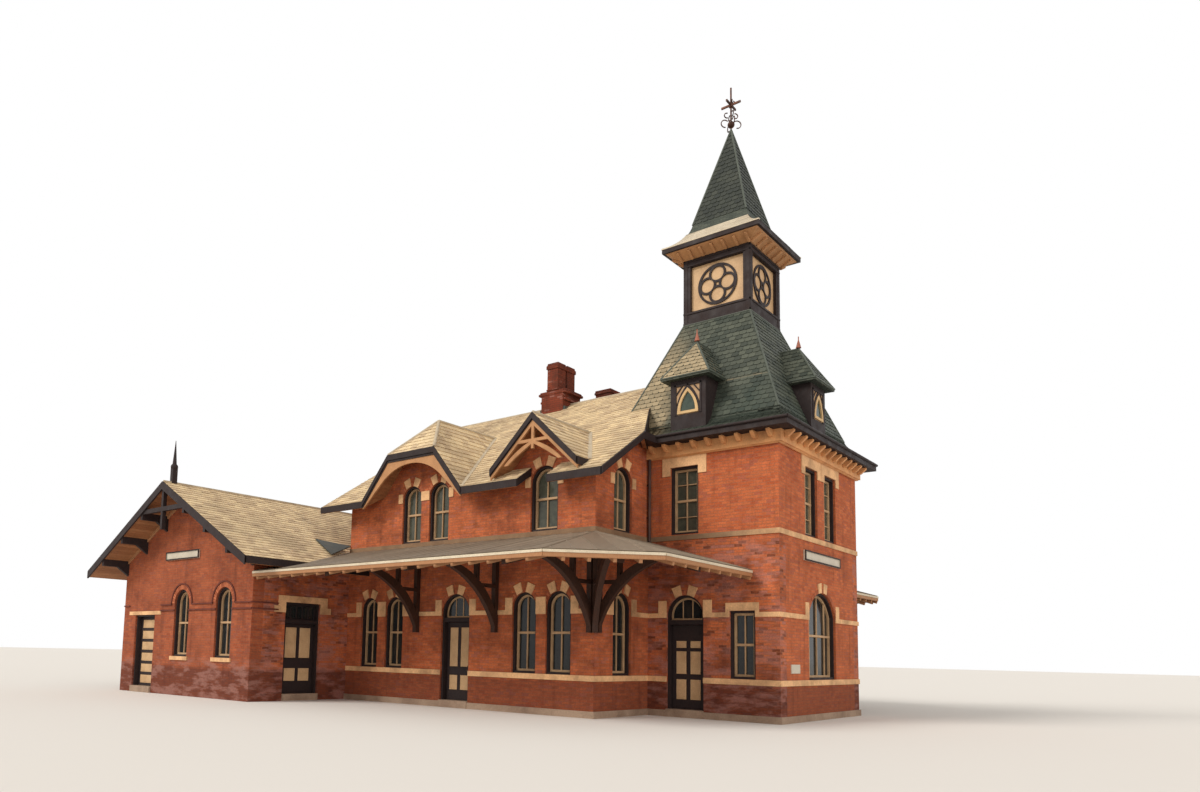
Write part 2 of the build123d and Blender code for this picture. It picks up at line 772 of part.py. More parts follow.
def knuckle(doorway, low, high, radius, bore=0):
    """An upright round piece on a door's hinge line."""
    middle = doorway.face.from_local_coords((hinge_u(doorway), 0, -hinge_back))
    with BuildSketch(Plane.XY.offset(low)) as profile:
        with Locations((middle.X, middle.Y)):
            Circle(radius)
            if bore:
                Circle(bore, mode=Mode.SUBTRACT)
    extrude(profile.sketch, amount=high - low)


def hinge_plate(doorway, u0, u1, low, high):
    """The flat part of a hinge, between two distances from the hinge line."""
    with BuildSketch(doorway.face.offset(-hinge_back)) as profile:
        with Locations((hinge_u(doorway) + (u0 + u1) / 2, (low + high) / 2)):
            Rectangle(u1 - u0, high - low)
    extrude(profile.sketch, amount=hinge_back - leaf_back)


def frame_hinges(doorway):
    for height in hinge_heights(doorway):
        knuckle(doorway, height - HINGE_HEIGHT, height - HINGE_PLAY, HINGE_RADIUS)
        knuckle(doorway, height - HINGE_PLAY, height + HINGE_HEIGHT, HINGE_PIN)
        hinge_plate(doorway, -35, -6, height - HINGE_HEIGHT, height - 5)


def leaf_hinges(doorway):
    for height in hinge_heights(doorway):
        knuckle(doorway, height, height + HINGE_HEIGHT, HINGE_RADIUS, HINGE_PIN + HINGE_PLAY)
        hinge_plate(doorway, 6, 50, height + 5, height + HINGE_HEIGHT)


def door_leaf(doorway, columns, rows, gap=DOOR_GAP):
    """A leaf with panels sunk on both faces and a knob. Rows are the panels' lowest and highest lines."""
    width = doorway.width - 2 * DOOR_FRAME - 2 * gap
    low = doorway.sill + gap
    high = leaf_tops[doorway] - gap
    with BuildSketch(doorway.face.offset(-leaf_back)) as profile:
        with Locations((doorway.u, (low + high) / 2)):
            Rectangle(width, high - low)
    extrude(profile.sketch, amount=LEAF_THICK)
    panel_width = (width - STILE * (columns + 1)) / columns
    sink = LEAF_THICK / 3
    for depth in (DOOR_SET + sink, leaf_back):
        with BuildSketch(doorway.face.offset(-depth)) as profile:
            for bottom, top in rows:
                for column in range(columns):
                    u = doorway.u - width / 2 + STILE + panel_width / 2 + column * (panel_width + STILE)
                    with Locations((u, (bottom + top) / 2)):
                        Rectangle(panel_width, top - bottom)
        extrude(profile.sketch, amount=sink, mode=Mode.SUBTRACT)
    knob_u = doorway.u + width / 2 - STILE / 2
    for depth, radius, length in ((leaf_back + 60, 12, 60), (leaf_back + 75, 28, 30),
                                  (DOOR_SET, 12, 60), (DOOR_SET - 45, 28, 30)):
        with BuildSketch(doorway.face.offset(-depth)) as profile:
            with Locations((knob_u, low + KNOB_HEIGHT)):
                Circle(radius)
        extrude(profile.sketch, amount=length)


gable_row = (WING_GABLE_LEAF_TOP - FLOOR_TOP - RAIL) / 6
GABLE_PANELS = [
    (FLOOR_TOP + RAIL + row * gable_row, FLOOR_TOP + (row + 1) * gable_row) for row in range(6)
]

with BuildPart() as door_frames:
    for doorway in doorways:
        door_frame(doorway)
        frame_hinges(doorway)

with BuildPart() as far_door_frames:
    for doorway in doorways:
        door_frame(doorway)
    mirror(about=Plane.XZ, mode=Mode.REPLACE)

with BuildPart() as fanlight_glass:
    for doorway in doorways[:3]:
        fanlight(doorway)
    mirrored()

with BuildPart() as hall_door:
    door_leaf(hall_doorway, 2, HALL_PANELS)
    leaf_hinges(hall_doorway)

with BuildPart() as tower_door:
    door_leaf(tower_doorway, 2, TOWER_PANELS)
    leaf_hinges(tower_doorway)

with BuildPart() as wing_side_door:
    door_leaf(wing_side_doorway, 2, SIDE_PANELS)
    leaf_hinges(wing_side_doorway)

with BuildPart() as wing_gable_door:
    door_leaf(wing_gable_doorway, 1, GABLE_PANELS)
    leaf_hinges(wing_gable_doorway)

with BuildPart() as far_side_doors:
    door_leaf(hall_doorway, 2, HALL_PANELS, 0)
    door_leaf(tower_doorway, 2, TOWER_PANELS, 0)
    door_leaf(wing_side_doorway, 2, SIDE_PANELS, 0)
    door_leaf(wing_gable_doorway, 1, GABLE_PANELS, 0)
    mirror(about=Plane.XZ, mode=Mode.REPLACE)


# Chimneys stand on the upper floor and pass through the main roof
def chimney(x, y, length, depth, shoulder):
    block(x - depth / 2, x + depth / 2, y - length / 2, y + length / 2, UPPER_FLOOR_TOP, shoulder)


with BuildPart() as chimneys:
    chimney(CHIMNEY_X, CHIMNEY_Y, CHIMNEY_LENGTH, CHIMNEY_DEPTH, CHIMNEY_SHOULDER)
    for side in (-1, 1):
        middle = CHIMNEY_Y + side * (SHAFT + SHAFT_GAP) / 2
        block(CHIMNEY_X - SHAFT / 2, CHIMNEY_X + SHAFT / 2, middle - SHAFT / 2, middle + SHAFT / 2,
              CHIMNEY_SHOULDER, SHAFT_TOP)
        block(CHIMNEY_X - SHAFT / 2 - 30, CHIMNEY_X + SHAFT / 2 + 30, middle - SHAFT / 2 - 30,
              middle + SHAFT / 2 + 30, SHAFT_TOP - 200, SHAFT_TOP - 80)
        block(CHIMNEY_X - 120, CHIMNEY_X + 120, middle - 120, middle + 120, SHAFT_TOP - 400, SHAFT_TOP,
              Mode.SUBTRACT)
    chimney(BACK_CHIMNEY_X, BACK_CHIMNEY_Y, BACK_CHIMNEY, BACK_CHIMNEY, BACK_CHIMNEY_TOP)

# Main roof: a shell, open at the wall gables, the dormers' windows, the chimneys and the tower
with BuildPart() as eave_gap:
    block(dormer_x - EAVE_GAP / 2, dormer_x + EAVE_GAP / 2, -main_eave_y, -main_y,
          UPPER_FLOOR_TOP, MAIN_RIDGE)

with BuildPart() as roof_openings:
    add(clip_under)
    add(dormer_room.part)
    add(eave_gap.part)
    mirrored()
    chimney(CHIMNEY_X, CHIMNEY_Y, CHIMNEY_LENGTH, CHIMNEY_DEPTH, SKY)
    chimney(BACK_CHIMNEY_X, BACK_CHIMNEY_Y, BACK_CHIMNEY, BACK_CHIMNEY, SKY)

# The cheek that closes the main attic where its roof stops against the tower
with BuildPart() as notch_cheek:
    add(tower_notch.part.moved(Location((-CHEEK, 0, 0))))
    add(tower_notch.part, mode=Mode.SUBTRACT)
    block(main_x0, TOWER_END_OVERHANG + main_x1, -main_y, main_y, TOWER_WALL_TOP, SKY, Mode.INTERSECT)
    add(main_under, mode=Mode.INTERSECT)
    block(main_x0, main_x1, -main_y, -tower_y, 0, SKY, Mode.SUBTRACT)
    block(main_x0, main_x1, tower_y, main_y, 0, SKY, Mode.SUBTRACT)

with BuildPart() as main_roof:
    add(main_over)
    add(main_under, mode=Mode.SUBTRACT)
    add(roof_openings.part, mode=Mode.SUBTRACT)
    add(tower_notch.part, mode=Mode.SUBTRACT)
    add(notch_cheek.part)

with BuildPart() as wall_gable_roofs:
    add(clip_over)
    add(clip_under, mode=Mode.SUBTRACT)
    add(main_over, mode=Mode.SUBTRACT)
    mirrored()

with BuildPart() as dormer_roofs:
    add(dormer_over)
    add(dormer_under, mode=Mode.SUBTRACT)
    add(main_over, mode=Mode.SUBTRACT)
    mirrored()

with BuildPart() as wing_roof:
    add(wing_over)
    add(wing_under, mode=Mode.SUBTRACT)
    block(main_x0, main_x1, -main_y, main_y, 0, SKY, Mode.SUBTRACT)


# Boards along the gable edges
def verge_board(plane, points, deep):
    """A board in front of a roof's edge, following its top line."""
    with BuildSketch(plane) as profile:
        with BuildLine():
            Polyline(*points, *[(u, v - deep) for u, v in reversed(points)], close=True)
        make_face()
    extrude(profile.sketch, amount=BOARD)


clip_top = CLIP_HALF * (CLIP_RIDGE - CLIP_EAVE) / (CLIP_RIDGE - MAIN_EAVE)
with BuildPart() as bargeboards:
    verge_board(
        Plane.XZ.offset(main_eave_y),
        [(clip_x - CLIP_HALF, MAIN_EAVE), (clip_x - clip_top, CLIP_EAVE),
         (clip_x + clip_top, CLIP_EAVE), (clip_x + CLIP_HALF, MAIN_EAVE)], BOARD_DEEP,
    )
    verge_board(
        Plane.XZ.offset(main_eave_y),
        [(dormer_x - DORMER_HALF, DORMER_EAVE), (dormer_x, DORMER_RIDGE),
         (dormer_x + DORMER_HALF, DORMER_EAVE)], BOARD_DEEP,
    )
    verge_board(
        Plane.YZ.offset(main_x1 + TOWER_END_OVERHANG),
        [(-main_eave_y, MAIN_EAVE), (-NOTCH_OUTER[1], MAIN_RIDGE - NOTCH_OUTER[1] * main_pitch)], BOARD_DEEP,
    )
    mirrored()
    verge_board(
        Plane.YZ.offset(main_x0 - WING_END_OVERHANG - BOARD),
        [(-main_eave_y, MAIN_EAVE), (0, MAIN_RIDGE), (main_eave_y, MAIN_EAVE)], BOARD_DEEP,
    )

wing_front = wing_y + WING_GABLE_OVERHANG
wing_pitch = (WING_RIDGE - WING_EAVE) / wing_half_roof
with BuildPart() as gable_timbers:
    for side in (-1, 1):
        for out in LOOKOUTS:
            middle = wing_x + side * out
            high = WING_RIDGE - WING_DROP - wing_pitch * (out - LOOKOUT / 2)
            block(middle - LOOKOUT / 2, middle + LOOKOUT / 2, -wing_front, -wing_y, high - 2 * LOOKOUT, high)
            with BuildSketch(Plane.YZ.offset(middle - LOOKOUT / 2)):
                with BuildLine():
                    Polyline((-wing_y, high - CORBEL - LOOKOUT), (-wing_y, high - LOOKOUT),
                             (-wing_y - CORBEL, high - LOOKOUT), (-wing_y - CORBEL, high - 2 * LOOKOUT),
                             close=True)
                make_face()
            extrude(amount=LOOKOUT)
    block(wing_x - WING_COLLAR_HALF, wing_x + WING_COLLAR_HALF, -wing_front, -wing_front + LOOKOUT,
          *WING_COLLAR)
    block(wing_x - PENDANT / 2, wing_x + PENDANT / 2, -wing_front, -wing_front + LOOKOUT,
          PENDANT_LOW, WING_RIDGE)
    add(wing_under, mode=Mode.INTERSECT)

with BuildPart() as wing_bargeboards:
    verge_board(
        Plane.XZ.offset(wing_front),
        [(wing_x - wing_half_roof, WING_EAVE), (wing_x, WING_RIDGE), (wing_x + wing_half_roof, WING_EAVE)],
        WING_BOARD_DEEP,
    )
    add(gable_timbers.part)
    mirrored()

with BuildPart() as wing_finials:
    finial_y = -wing_front + WING_FINIAL_BACK
    post = WING_FINIAL_POST / 2
    block(wing_x - post, wing_x + post, finial_y - post, finial_y + post, WING_EAVE, WING_FINIAL_BALL)
    add(wing_over, mode=Mode.SUBTRACT)
    with Locations((wing_x, finial_y, WING_FINIAL_BALL)):
        Cone(0.9 * post, 8, WING_FINIAL_TOP - WING_FINIAL_BALL,
             align=(Align.CENTER, Align.CENTER, Align.MIN))
        Sphere(1.4 * post)
    mirrored()

# Carved boards and sticks in the clipped gables and the dormers
with BuildPart() as clip_work:
    with BuildSketch(Plane.XZ.offset(main_eave_y)):
        (foot_x, foot_z), (bend_x, bend_z), (crown_x, crown_z) = CLIP_BOARD
        with BuildLine():
            Polyline((clip_x - bend_x, bend_z), (clip_x - foot_x, foot_z), (clip_x - CLIP_HALF, foot_z),
                     (clip_x - CLIP_HALF, CLIP_RIDGE), (clip_x + CLIP_HALF, CLIP_RIDGE),
                     (clip_x + CLIP_HALF, foot_z), (clip_x + foot_x, foot_z), (clip_x + bend_x, bend_z))
            ThreePointArc((clip_x + bend_x, bend_z), (clip_x + crown_x, crown_z), (clip_x - bend_x, bend_z))
        make_face()
    extrude(amount=-GABLE_WORK)
    add(clip_under, mode=Mode.INTERSECT)

with BuildPart() as dormer_work:
    under_ridge = DORMER_RIDGE - DORMER_DROP
    under_eave = DORMER_EAVE - DORMER_DROP
    with BuildSketch(Plane.XZ.offset(main_eave_y)):
        with BuildLine():
            Polyline((dormer_x - DORMER_HALF, under_eave), (dormer_x, under_ridge),
                     (dormer_x + DORMER_HALF, under_eave),
                     (dormer_x + DORMER_HALF, under_eave - DORMER_BOARD),
                     (dormer_x, under_ridge - 1.4 * DORMER_BOARD),
                     (dormer_x - DORMER_HALF, under_eave - DORMER_BOARD), close=True)
        make_face()
        with Locations((dormer_x, (KING_POST + under_ridge) / 2)):
            Rectangle(STICK, under_ridge - KING_POST)
        with Locations((dormer_x, STICK_COLLAR)):
            Rectangle(2 * STICK_COLLAR_HALF, STICK)
        for side in (-1, 1):
            reach, low = STICK_BRACE
            with BuildLine():
                ThreePointArc((dormer_x, STICK_COLLAR),
                              (dormer_x + side * 0.62 * reach, STICK_COLLAR - 0.3 * reach),
                              (dormer_x + side * reach, low))
                Line((dormer_x + side * reach, low), (dormer_x + side * (reach - 1.5 * STICK), low))
                ThreePointArc((dormer_x + side * (reach - 1.5 * STICK), low),
                              (dormer_x + side * 0.5 * reach, STICK_COLLAR - 0.36 * reach),
                              (dormer_x, STICK_COLLAR - STICK))
                Line((dormer_x, STICK_COLLAR - STICK), (dormer_x, STICK_COLLAR))
            make_face()
    extrude(amount=-GABLE_WORK)
    add(dormer_under, mode=Mode.INTERSECT)

with BuildPart() as gable_work:
    add(clip_work.part)
    add(dormer_work.part)
    mirrored()

# Canopies: three sloping sheets a side, the corner cut off
canopy_x1 = main_x1 + CANOPY_REACH_X
canopy_y0 = -main_y - CANOPY_REACH_Y
canopy_corner = (main_x1, -main_y, CANOPY_WALL)
canopy_edge = [
    (main_x0, canopy_y0, CANOPY_EDGE), (canopy_x1 - CANOPY_CHAMFER, canopy_y0, CANOPY_EDGE),
    (canopy_x1, canopy_y0 + CANOPY_CHAMFER, CANOPY_EDGE), (canopy_x1, -tower_y, CANOPY_EDGE),
]


def sheet(points, thick):
    """A flat sheet under the points, with upright edges."""
    extrude(Face(Wire.make_polygon([Vector(*point) for point in points])), amount=thick, dir=(0, 0, -1))


with BuildPart() as wing_shell:
    add(wing_over)
    add(wing_under, mode=Mode.SUBTRACT)

with BuildPart() as canopy_roofs:
    sheet([(main_x0, -main_y, CANOPY_WALL), canopy_edge[0], canopy_edge[1], canopy_corner], CANOPY_THICK)
    sheet([canopy_corner, canopy_edge[1], canopy_edge[2]], CANOPY_THICK)
    sheet([canopy_corner, canopy_edge[2], canopy_edge[3], (main_x1, -tower_y, CANOPY_WALL)], CANOPY_THICK)
    add(wing_shell.part, mode=Mode.SUBTRACT)
    mirrored()


def bracket(x, y, direction, slope, reach, ease=0):
    """A timber bracket under the canopy: wall post, rafter and curved strut. At the corner it is
    eased down near the wall, where the three sheets meet."""
    along = Vector(*direction, 0).normalized()
    plane = Plane((x, y, 0), along, (along.Y, -along.X, 0))
    under = CANOPY_WALL - CANOPY_THICK
    end = BRACKET_REACH * reach / CANOPY_REACH_Y
    tip = under - slope * end - 0.7 * TIMBER
    back = 1.6 * TIMBER
    inside = 0.8 * TIMBER
    foot = BRACKET_FOOT + 120
    with BuildSketch(plane.offset(-TIMBER / 2)) as profile:
        with BuildLine():
            Polyline(
                (0, BRACKET_FOOT), (TIMBER, BRACKET_FOOT), (TIMBER, under - slope * TIMBER - TIMBER),
                (reach, under - slope * reach - TIMBER), (reach, under - slope * reach),
                (2 * TIMBER, under - slope * 2 * TIMBER), (0, under - ease), close=True,
            )
        make_face()
        with BuildLine():
            ThreePointArc((inside, foot), (TIMBER + 0.33 * end, foot + 0.62 * (tip - foot)), (end, tip))
            Line((end, tip), (end - back, tip + slope * back))
            ThreePointArc(
                (end - back, tip + slope * back),
                (TIMBER + 0.24 * end, foot + 0.72 * (tip - foot)), (inside, foot + 3 * TIMBER),
            )
            Line((inside, foot + 3 * TIMBER), (inside, foot))
        make_face()
        knee = 0.37 * end
        knee_top = under - slope * knee - TIMBER / 2
        with Locations((knee, (TIE_LOW + knee_top) / 2)):
            Rectangle(BRACE, knee_top - TIE_LOW)
        with Locations(((inside + knee) / 2, TIE_LOW + BRACE / 2)):
            Rectangle(knee - inside, BRACE)
    extrude(profile.sketch, amount=TIMBER)


canopy_drop = CANOPY_WALL - CANOPY_EDGE
with BuildPart() as canopy_brackets:
    for x in (*BRACKET_X, main_x1 - 0.55 * TIMBER):
        bracket(x, -main_y, (0, -1), canopy_drop / CANOPY_REACH_Y, CANOPY_REACH_Y - 150)
    bracket(main_x1, -main_y + 0.55 * TIMBER, (1, 0), canopy_drop / CANOPY_REACH_X, CANOPY_REACH_X - 150)
    bracket(main_x1, -main_y, (1, -1), 0.2701, CORNER_REACH, TIMBER / 8)
    mirrored()

# Stone courses, cut where the brackets' posts pass
track_gaps = [hall_doorway, tower_doorway] + track_openings + shoulder_openings + side_openings
with BuildPart() as sill_course:
    course(*SILL_COURSE, COURSE_PROUD, [hall_doorway, tower_doorway])

with BuildPart() as impost_course:
    course(*IMPOST_COURSE, COURSE_PROUD, track_gaps + front_openings)
    add(canopy_brackets.part, mode=Mode.SUBTRACT)

with BuildPart() as belt_course:
    course(*BELT_COURSE, COURSE_PROUD, [])

with BuildPart() as stone_courses:
    add(sill_course.part)
    add(impost_course.part)
    add(belt_course.part)


# Stone round the openings: springers, voussoirs, lintels, sills and a door surround
def stone(opening, corners, proud=COURSE_PROUD):
    """A flat stone on an opening's wall face, its corners given from the opening's middle."""
    with BuildSketch(opening.face) as profile:
        with BuildLine() as edge:
            Polyline(*[(opening.u + u, v) for u, v in corners], close=True)
        make_face(edge.line)
    extrude(profile.sketch, amount=proud)


def slab(opening, u0, u1, low, high, proud=COURSE_PROUD):
    stone(opening, [(u0, low), (u1, low), (u1, high), (u0, high)], proud)


def springers(opening, width, low, high):
    half = opening.width / 2
    slab(opening, -half - width, -half, low, high)
    slab(opening, half, half + width, low, high)


def voussoirs(opening):
    """Two stones on the arch, one on either side of its crown."""
    half = opening.width / 2
    bend = (half * half + opening.rise * opening.rise) / (2 * opening.rise)
    middle = opening.top - bend
    for side in (-1, 1):
        turn = radians(side * VOUSSOIR_TURN * min(1, 450 / bend))
        out, across = (sin(turn), cos(turn)), (cos(turn), -sin(turn))
        corners = []
        for along, reach in ((-VOUSSOIR_FOOT, 0.9 * bend), (VOUSSOIR_FOOT, 0.9 * bend),
                             (VOUSSOIR_HEAD, bend + VOUSSOIR_LONG), (-VOUSSOIR_HEAD, bend + VOUSSOIR_LONG)):
            corners.append((reach * out[0] + along * across[0], middle + reach * out[1] + along * across[1]))
        stone(opening, corners)


def clear_openings(openings):
    for opening in openings:
        with BuildSketch(opening.face) as profile:
            outline(opening)
        extrude(profile.sketch, amount=2 * PLINTH_PROUD, mode=Mode.SUBTRACT)


arched_lower = [o for o in track_openings + shoulder_openings if o.sill == LOWER_SILL]
arched_upper = [o for o in track_openings + shoulder_openings if o.sill == UPPER_SILL]
course_top = IMPOST_COURSE[1]
with BuildPart() as stone_dressings:
    for opening in arched_lower + [hall_doorway, tower_doorway]:
        springers(opening, SPRINGER, course_top, SPRINGER_TOP)
        voussoirs(opening)
    for opening in arched_upper:
        spring = opening.top - opening.rise
        springers(opening, UPPER_SPRINGER, spring - UPPER_SPRINGER_DROP, spring + UPPER_SPRINGER_RISE)
        voussoirs(opening)
    for opening in side_openings:
        if opening.sill == LOWER_SILL:
            reach = opening.width / 2 + LINTEL_PAST
            slab(opening, -reach, reach, course_top, LINTEL_TOP)
        else:
            reach = opening.width / 2 + UPPER_LINTEL_PAST
            slab(opening, -reach, reach, UPPER_LINTEL_LOW, CORNICE_BOTTOM)
    for opening in gable_openings:
        reach = opening.width / 2 + SILL_PAST
        slab(opening, -reach, reach, opening.sill - SILL_DEEP, opening.sill, PLINTH_PROUD)
    head = wing_gable_doorway.width / 2 + GABLE_LINTEL_PAST
    slab(wing_gable_doorway, -head, head, WING_GABLE_DOOR_TOP, WING_GABLE_DOOR_TOP + GABLE_LINTEL)
    side_out = wing_side_doorway.width / 2 + SURROUND_PAST
    slab(wing_side_doorway, -side_out, side_out, SURROUND_LOW, SURROUND_TOP)
    slab(wing_side_doorway, -side_out - SURROUND_FOOT, side_out + SURROUND_FOOT, SURROUND_LOW,
         SURROUND_FOOT_TOP)
    clear_openings(doorways + track_openings + shoulder_openings + side_openings)
    mirrored()
    for opening in front_openings:
        if opening.rise:
            springers(opening, SPRINGER, course_top, SPRINGER_TOP)
            voussoirs(opening)
        else:
            reach = opening.width / 2 + UPPER_LINTEL_PAST
            slab(opening, -reach, reach, UPPER_LINTEL_LOW, CORNICE_BOTTOM)
    for opening in back_openings:
        reach = opening.width / 2 + SILL_PAST
        slab(opening, -reach, reach, opening.sill - SILL_DEEP, opening.sill, PLINTH_PROUD)
    clear_openings(front_openings)
    add(canopy_brackets.part, mode=Mode.SUBTRACT)

# Tower head: cornice, eave, mansard and its dormers
with BuildPart() as tower_cornice:
    with BuildSketch(Plane.XY.offset(CORNICE_BOTTOM)):
        with BuildLine():
            Polyline(*footprint[2:6], close=True)
        make_face()
        offset(amount=CORNICE_PROUD, kind=Kind.INTERSECTION)
        with BuildLine():
            Polyline(*footprint[2:6], close=True)
        make_face(mode=Mode.SUBTRACT)
    extrude(amount=TOWER_WALL_TOP - CORNICE_BOTTOM)
    block(main_x0, main_x1, -main_y, main_y, 0, SKY, Mode.SUBTRACT)

with BuildPart() as tower_eave:
    block(NOTCH_INNER[0], front_x + EAVE_OVERHANG_X, -tower_y - EAVE_OVERHANG_Y,
          tower_y + EAVE_OVERHANG_Y, TOWER_WALL_TOP, EAVE_TOP)
    block(NOTCH_INNER[0], NOTCH_OUTER[0], -NOTCH_OUTER[1], NOTCH_OUTER[1], TOWER_WALL_TOP, EAVE_TOP)
    add(tower_notch.part, mode=Mode.INTERSECT)

mansard_half_x = TOWER_DEPTH / 2 + EAVE_OVERHANG_X
mansard_half_y = TOWER_WIDTH / 2 + EAVE_OVERHANG_Y
mansard_over = bell_roof(
    mansard_half_x, mansard_half_y, EAVE_TOP, KNEE_HALF, KNEE_HEIGHT, CUPOLA_HALF, MANSARD_TOP,
)
mansard_under = bell_roof(
    mansard_half_x, mansard_half_y, EAVE_TOP - MANSARD_DROP, KNEE_HALF, KNEE_HEIGHT - MANSARD_DROP,
    CUPOLA_HALF, MANSARD_TOP - MANSARD_DROP,
)
with BuildPart() as main_roof_beside_tower:
    add(main_over)
    add(tower_notch.part, mode=Mode.SUBTRACT)


def on_tower(shape, angle):
    """A shape drawn about the origin, turned and moved to the tower's axis."""
    return shape.moved(Location((tower_x, 0, 0), (0, 0, angle)))


# A mansard dormer faces +X before it is turned to its side of the tower
def dormer_body(reach):
    with BuildPart() as body:
        block(CUPOLA_HALF, reach, -DORMER_BODY / 2, DORMER_BODY / 2, EAVE_TOP + 200, DORMER_BODY_TOP)
    return body.part


def dormer_inside(reach):
    wall = DORMER_BODY_WALL
    with BuildPart() as inside:
        block(0, reach - wall, -DORMER_BODY / 2 + wall, DORMER_BODY / 2 - wall,
              DORMER_SILL, DORMER_BODY_TOP - wall)
        block(reach - wall, reach, -DORMER_BODY / 2 + 1.6 * wall, DORMER_BODY / 2 - 1.6 * wall,
              DORMER_SILL + wall, DORMER_BODY_TOP - 1.6 * wall)
    return inside.part


def dormer_hip(reach):
    """The dormer's steep roof, hipped at its front."""
    half = DORMER_BODY / 2 + DORMER_BODY_OVERHANG
    front = reach + DORMER_BODY_OVERHANG
    with BuildPart() as hip:
        with BuildSketch(Plane.YZ):
            gable_outline(half, DORMER_BODY_TOP + 60, DORMER_BODY_RIDGE, DORMER_BODY_TOP)
        extrude(amount=front)
        with BuildSketch(Plane.XZ.offset(half)):
            with BuildLine():
                Polyline((front, DORMER_BODY_TOP + 60), (front, SKY), (front - half, SKY),
                         (front - half, DORMER_BODY_RIDGE), close=True)
            make_face()
        extrude(amount=-2 * half, mode=Mode.SUBTRACT)
    return hip.part


dormer_places = [(SIDE_DORMER_REACH, -90), (SIDE_DORMER_REACH, 90), (FRONT_DORMER_REACH, 0)]

with BuildPart() as tower_mansard:
    add(mansard_over)
    add(mansard_under, mode=Mode.SUBTRACT)
    add(main_roof_beside_tower.part, mode=Mode.SUBTRACT)
    for reach, angle in dormer_places:
        add(on_tower(dormer_inside(reach), angle), mode=Mode.SUBTRACT)

with BuildPart() as mansard_dormers:
    for reach, angle in dormer_places:
        add(on_tower(dormer_body(reach), angle))
    for reach, angle in dormer_places:
        add(on_tower(dormer_inside(reach), angle), mode=Mode.SUBTRACT)
    add(mansard_over, mode=Mode.SUBTRACT)

with BuildPart() as mansard_dormer_roofs:
    for reach, angle in dormer_places:
        add(on_tower(dormer_hip(reach), angle))
    add(mansard_over, mode=Mode.SUBTRACT)

with BuildPart() as mansard_dormer_windows:
    for reach, angle in dormer_places:
        with BuildPart(mode=Mode.PRIVATE) as window:
            wall = DORMER_BODY_WALL
            block(reach - 0.7 * wall, reach - 0.3 * wall, -DORMER_BODY / 2 + 1.6 * wall,
                  DORMER_BODY / 2 - 1.6 * wall, DORMER_SILL + wall, DORMER_BODY_TOP - 1.6 * wall)
            block(reach - wall, reach, -DORMER_BODY / 2 + 2.2 * wall, -0.3 * wall,
                  DORMER_SILL + 1.6 * wall, DORMER_BODY_TOP - 2.2 * wall, Mode.SUBTRACT)
            block(reach - wall, reach, 0.3 * wall, DORMER_BODY / 2 - 2.2 * wall,
                  DORMER_SILL + 1.6 * wall, DORMER_BODY_TOP - 2.2 * wall, Mode.SUBTRACT)
            block(reach - 0.55 * wall, reach - 0.45 * wall, -DORMER_BODY / 2 + 2 * wall,
                  DORMER_BODY / 2 - 2 * wall, DORMER_SILL + 1.4 * wall, DORMER_BODY_TOP - 2 * wall)
        add(on_tower(window.part, angle))

# Cupola and spire
with BuildPart() as cupola_frame:
    inner = CUPOLA_HALF - CUPOLA_POST
    panel_low = MANSARD_TOP + CUPOLA_BASE
    panel_high = CUPOLA_TOP - CUPOLA_RAIL
    cupola_middle = (panel_low + panel_high) / 2
    with Locations((tower_x, 0, (MANSARD_TOP + CUPOLA_TOP) / 2)):
        Box(2 * CUPOLA_HALF, 2 * CUPOLA_HALF, CUPOLA_TOP - MANSARD_TOP)
        Box(2 * inner, 2 * inner, CUPOLA_TOP - MANSARD_TOP, mode=Mode.SUBTRACT)
    with Locations((tower_x, 0, cupola_middle)):
        Box(2 * CUPOLA_HALF, 2 * inner, panel_high - panel_low, mode=Mode.SUBTRACT)
        Box(2 * inner, 2 * CUPOLA_HALF, panel_high - panel_low, mode=Mode.SUBTRACT)

panel_face = CUPOLA_HALF - PANEL_SET
with BuildPart() as cupola_panel:
    with BuildSketch(Plane.YZ.offset(panel_face - PANEL_THICK)):
        with Locations((0, cupola_middle)):
            Rectangle(2 * inner, panel_high - panel_low)
    extrude(amount=PANEL_THICK)

with BuildPart() as tracery:
    with BuildSketch(Plane.YZ.offset(panel_face)):
        with Locations((0, cupola_middle)):
            Circle(ROUND)
            Circle(ROUND - TRACERY, mode=Mode.SUBTRACT)
            with PolarLocations(LOBE_SPREAD, 4, 0):
                Circle(LOBE + TRACERY / 2)
            with PolarLocations(LOBE_SPREAD, 4, 0):
                Circle(LOBE - TRACERY / 2, mode=Mode.SUBTRACT)
    extrude(amount=TRACERY_PROUD)

with BuildPart() as cupola_panels:
    for angle in (0, 90, 180, 270):
        add(on_tower(cupola_panel.part, angle))

with BuildPart() as cupola_tracery:
    for angle in (0, 90, 180, 270):
        add(on_tower(tracery.part, angle))

with BuildPart() as spire_soffit:
    with BuildSketch(Plane.XY.offset(CUPOLA_TOP)):
        with Locations((tower_x, 0)):
            Rectangle(2 * (CUPOLA_HALF + SOFFIT_FOOT), 2 * (CUPOLA_HALF + SOFFIT_FOOT))
    with BuildSketch(Plane.XY.offset(SPIRE_EAVE - SPIRE_FASCIA)):
        with Locations((tower_x, 0)):
            Rectangle(2 * (CUPOLA_HALF + SOFFIT_HEAD), 2 * (CUPOLA_HALF + SOFFIT_HEAD))
    loft()

with BuildPart() as spire_eave:
    with Locations((tower_x, 0, SPIRE_EAVE - SPIRE_FASCIA)):
        Box(2 * SPIRE_EAVE_HALF, 2 * SPIRE_EAVE_HALF, SPIRE_FASCIA,
            align=(Align.CENTER, Align.CENTER, Align.MIN))

with BuildPart() as spire:
    add(bell_roof(SPIRE_EAVE_HALF, SPIRE_EAVE_HALF, SPIRE_EAVE, SPIRE_KNEE_HALF, SPIRE_KNEE, 0, SPIRE_TOP))

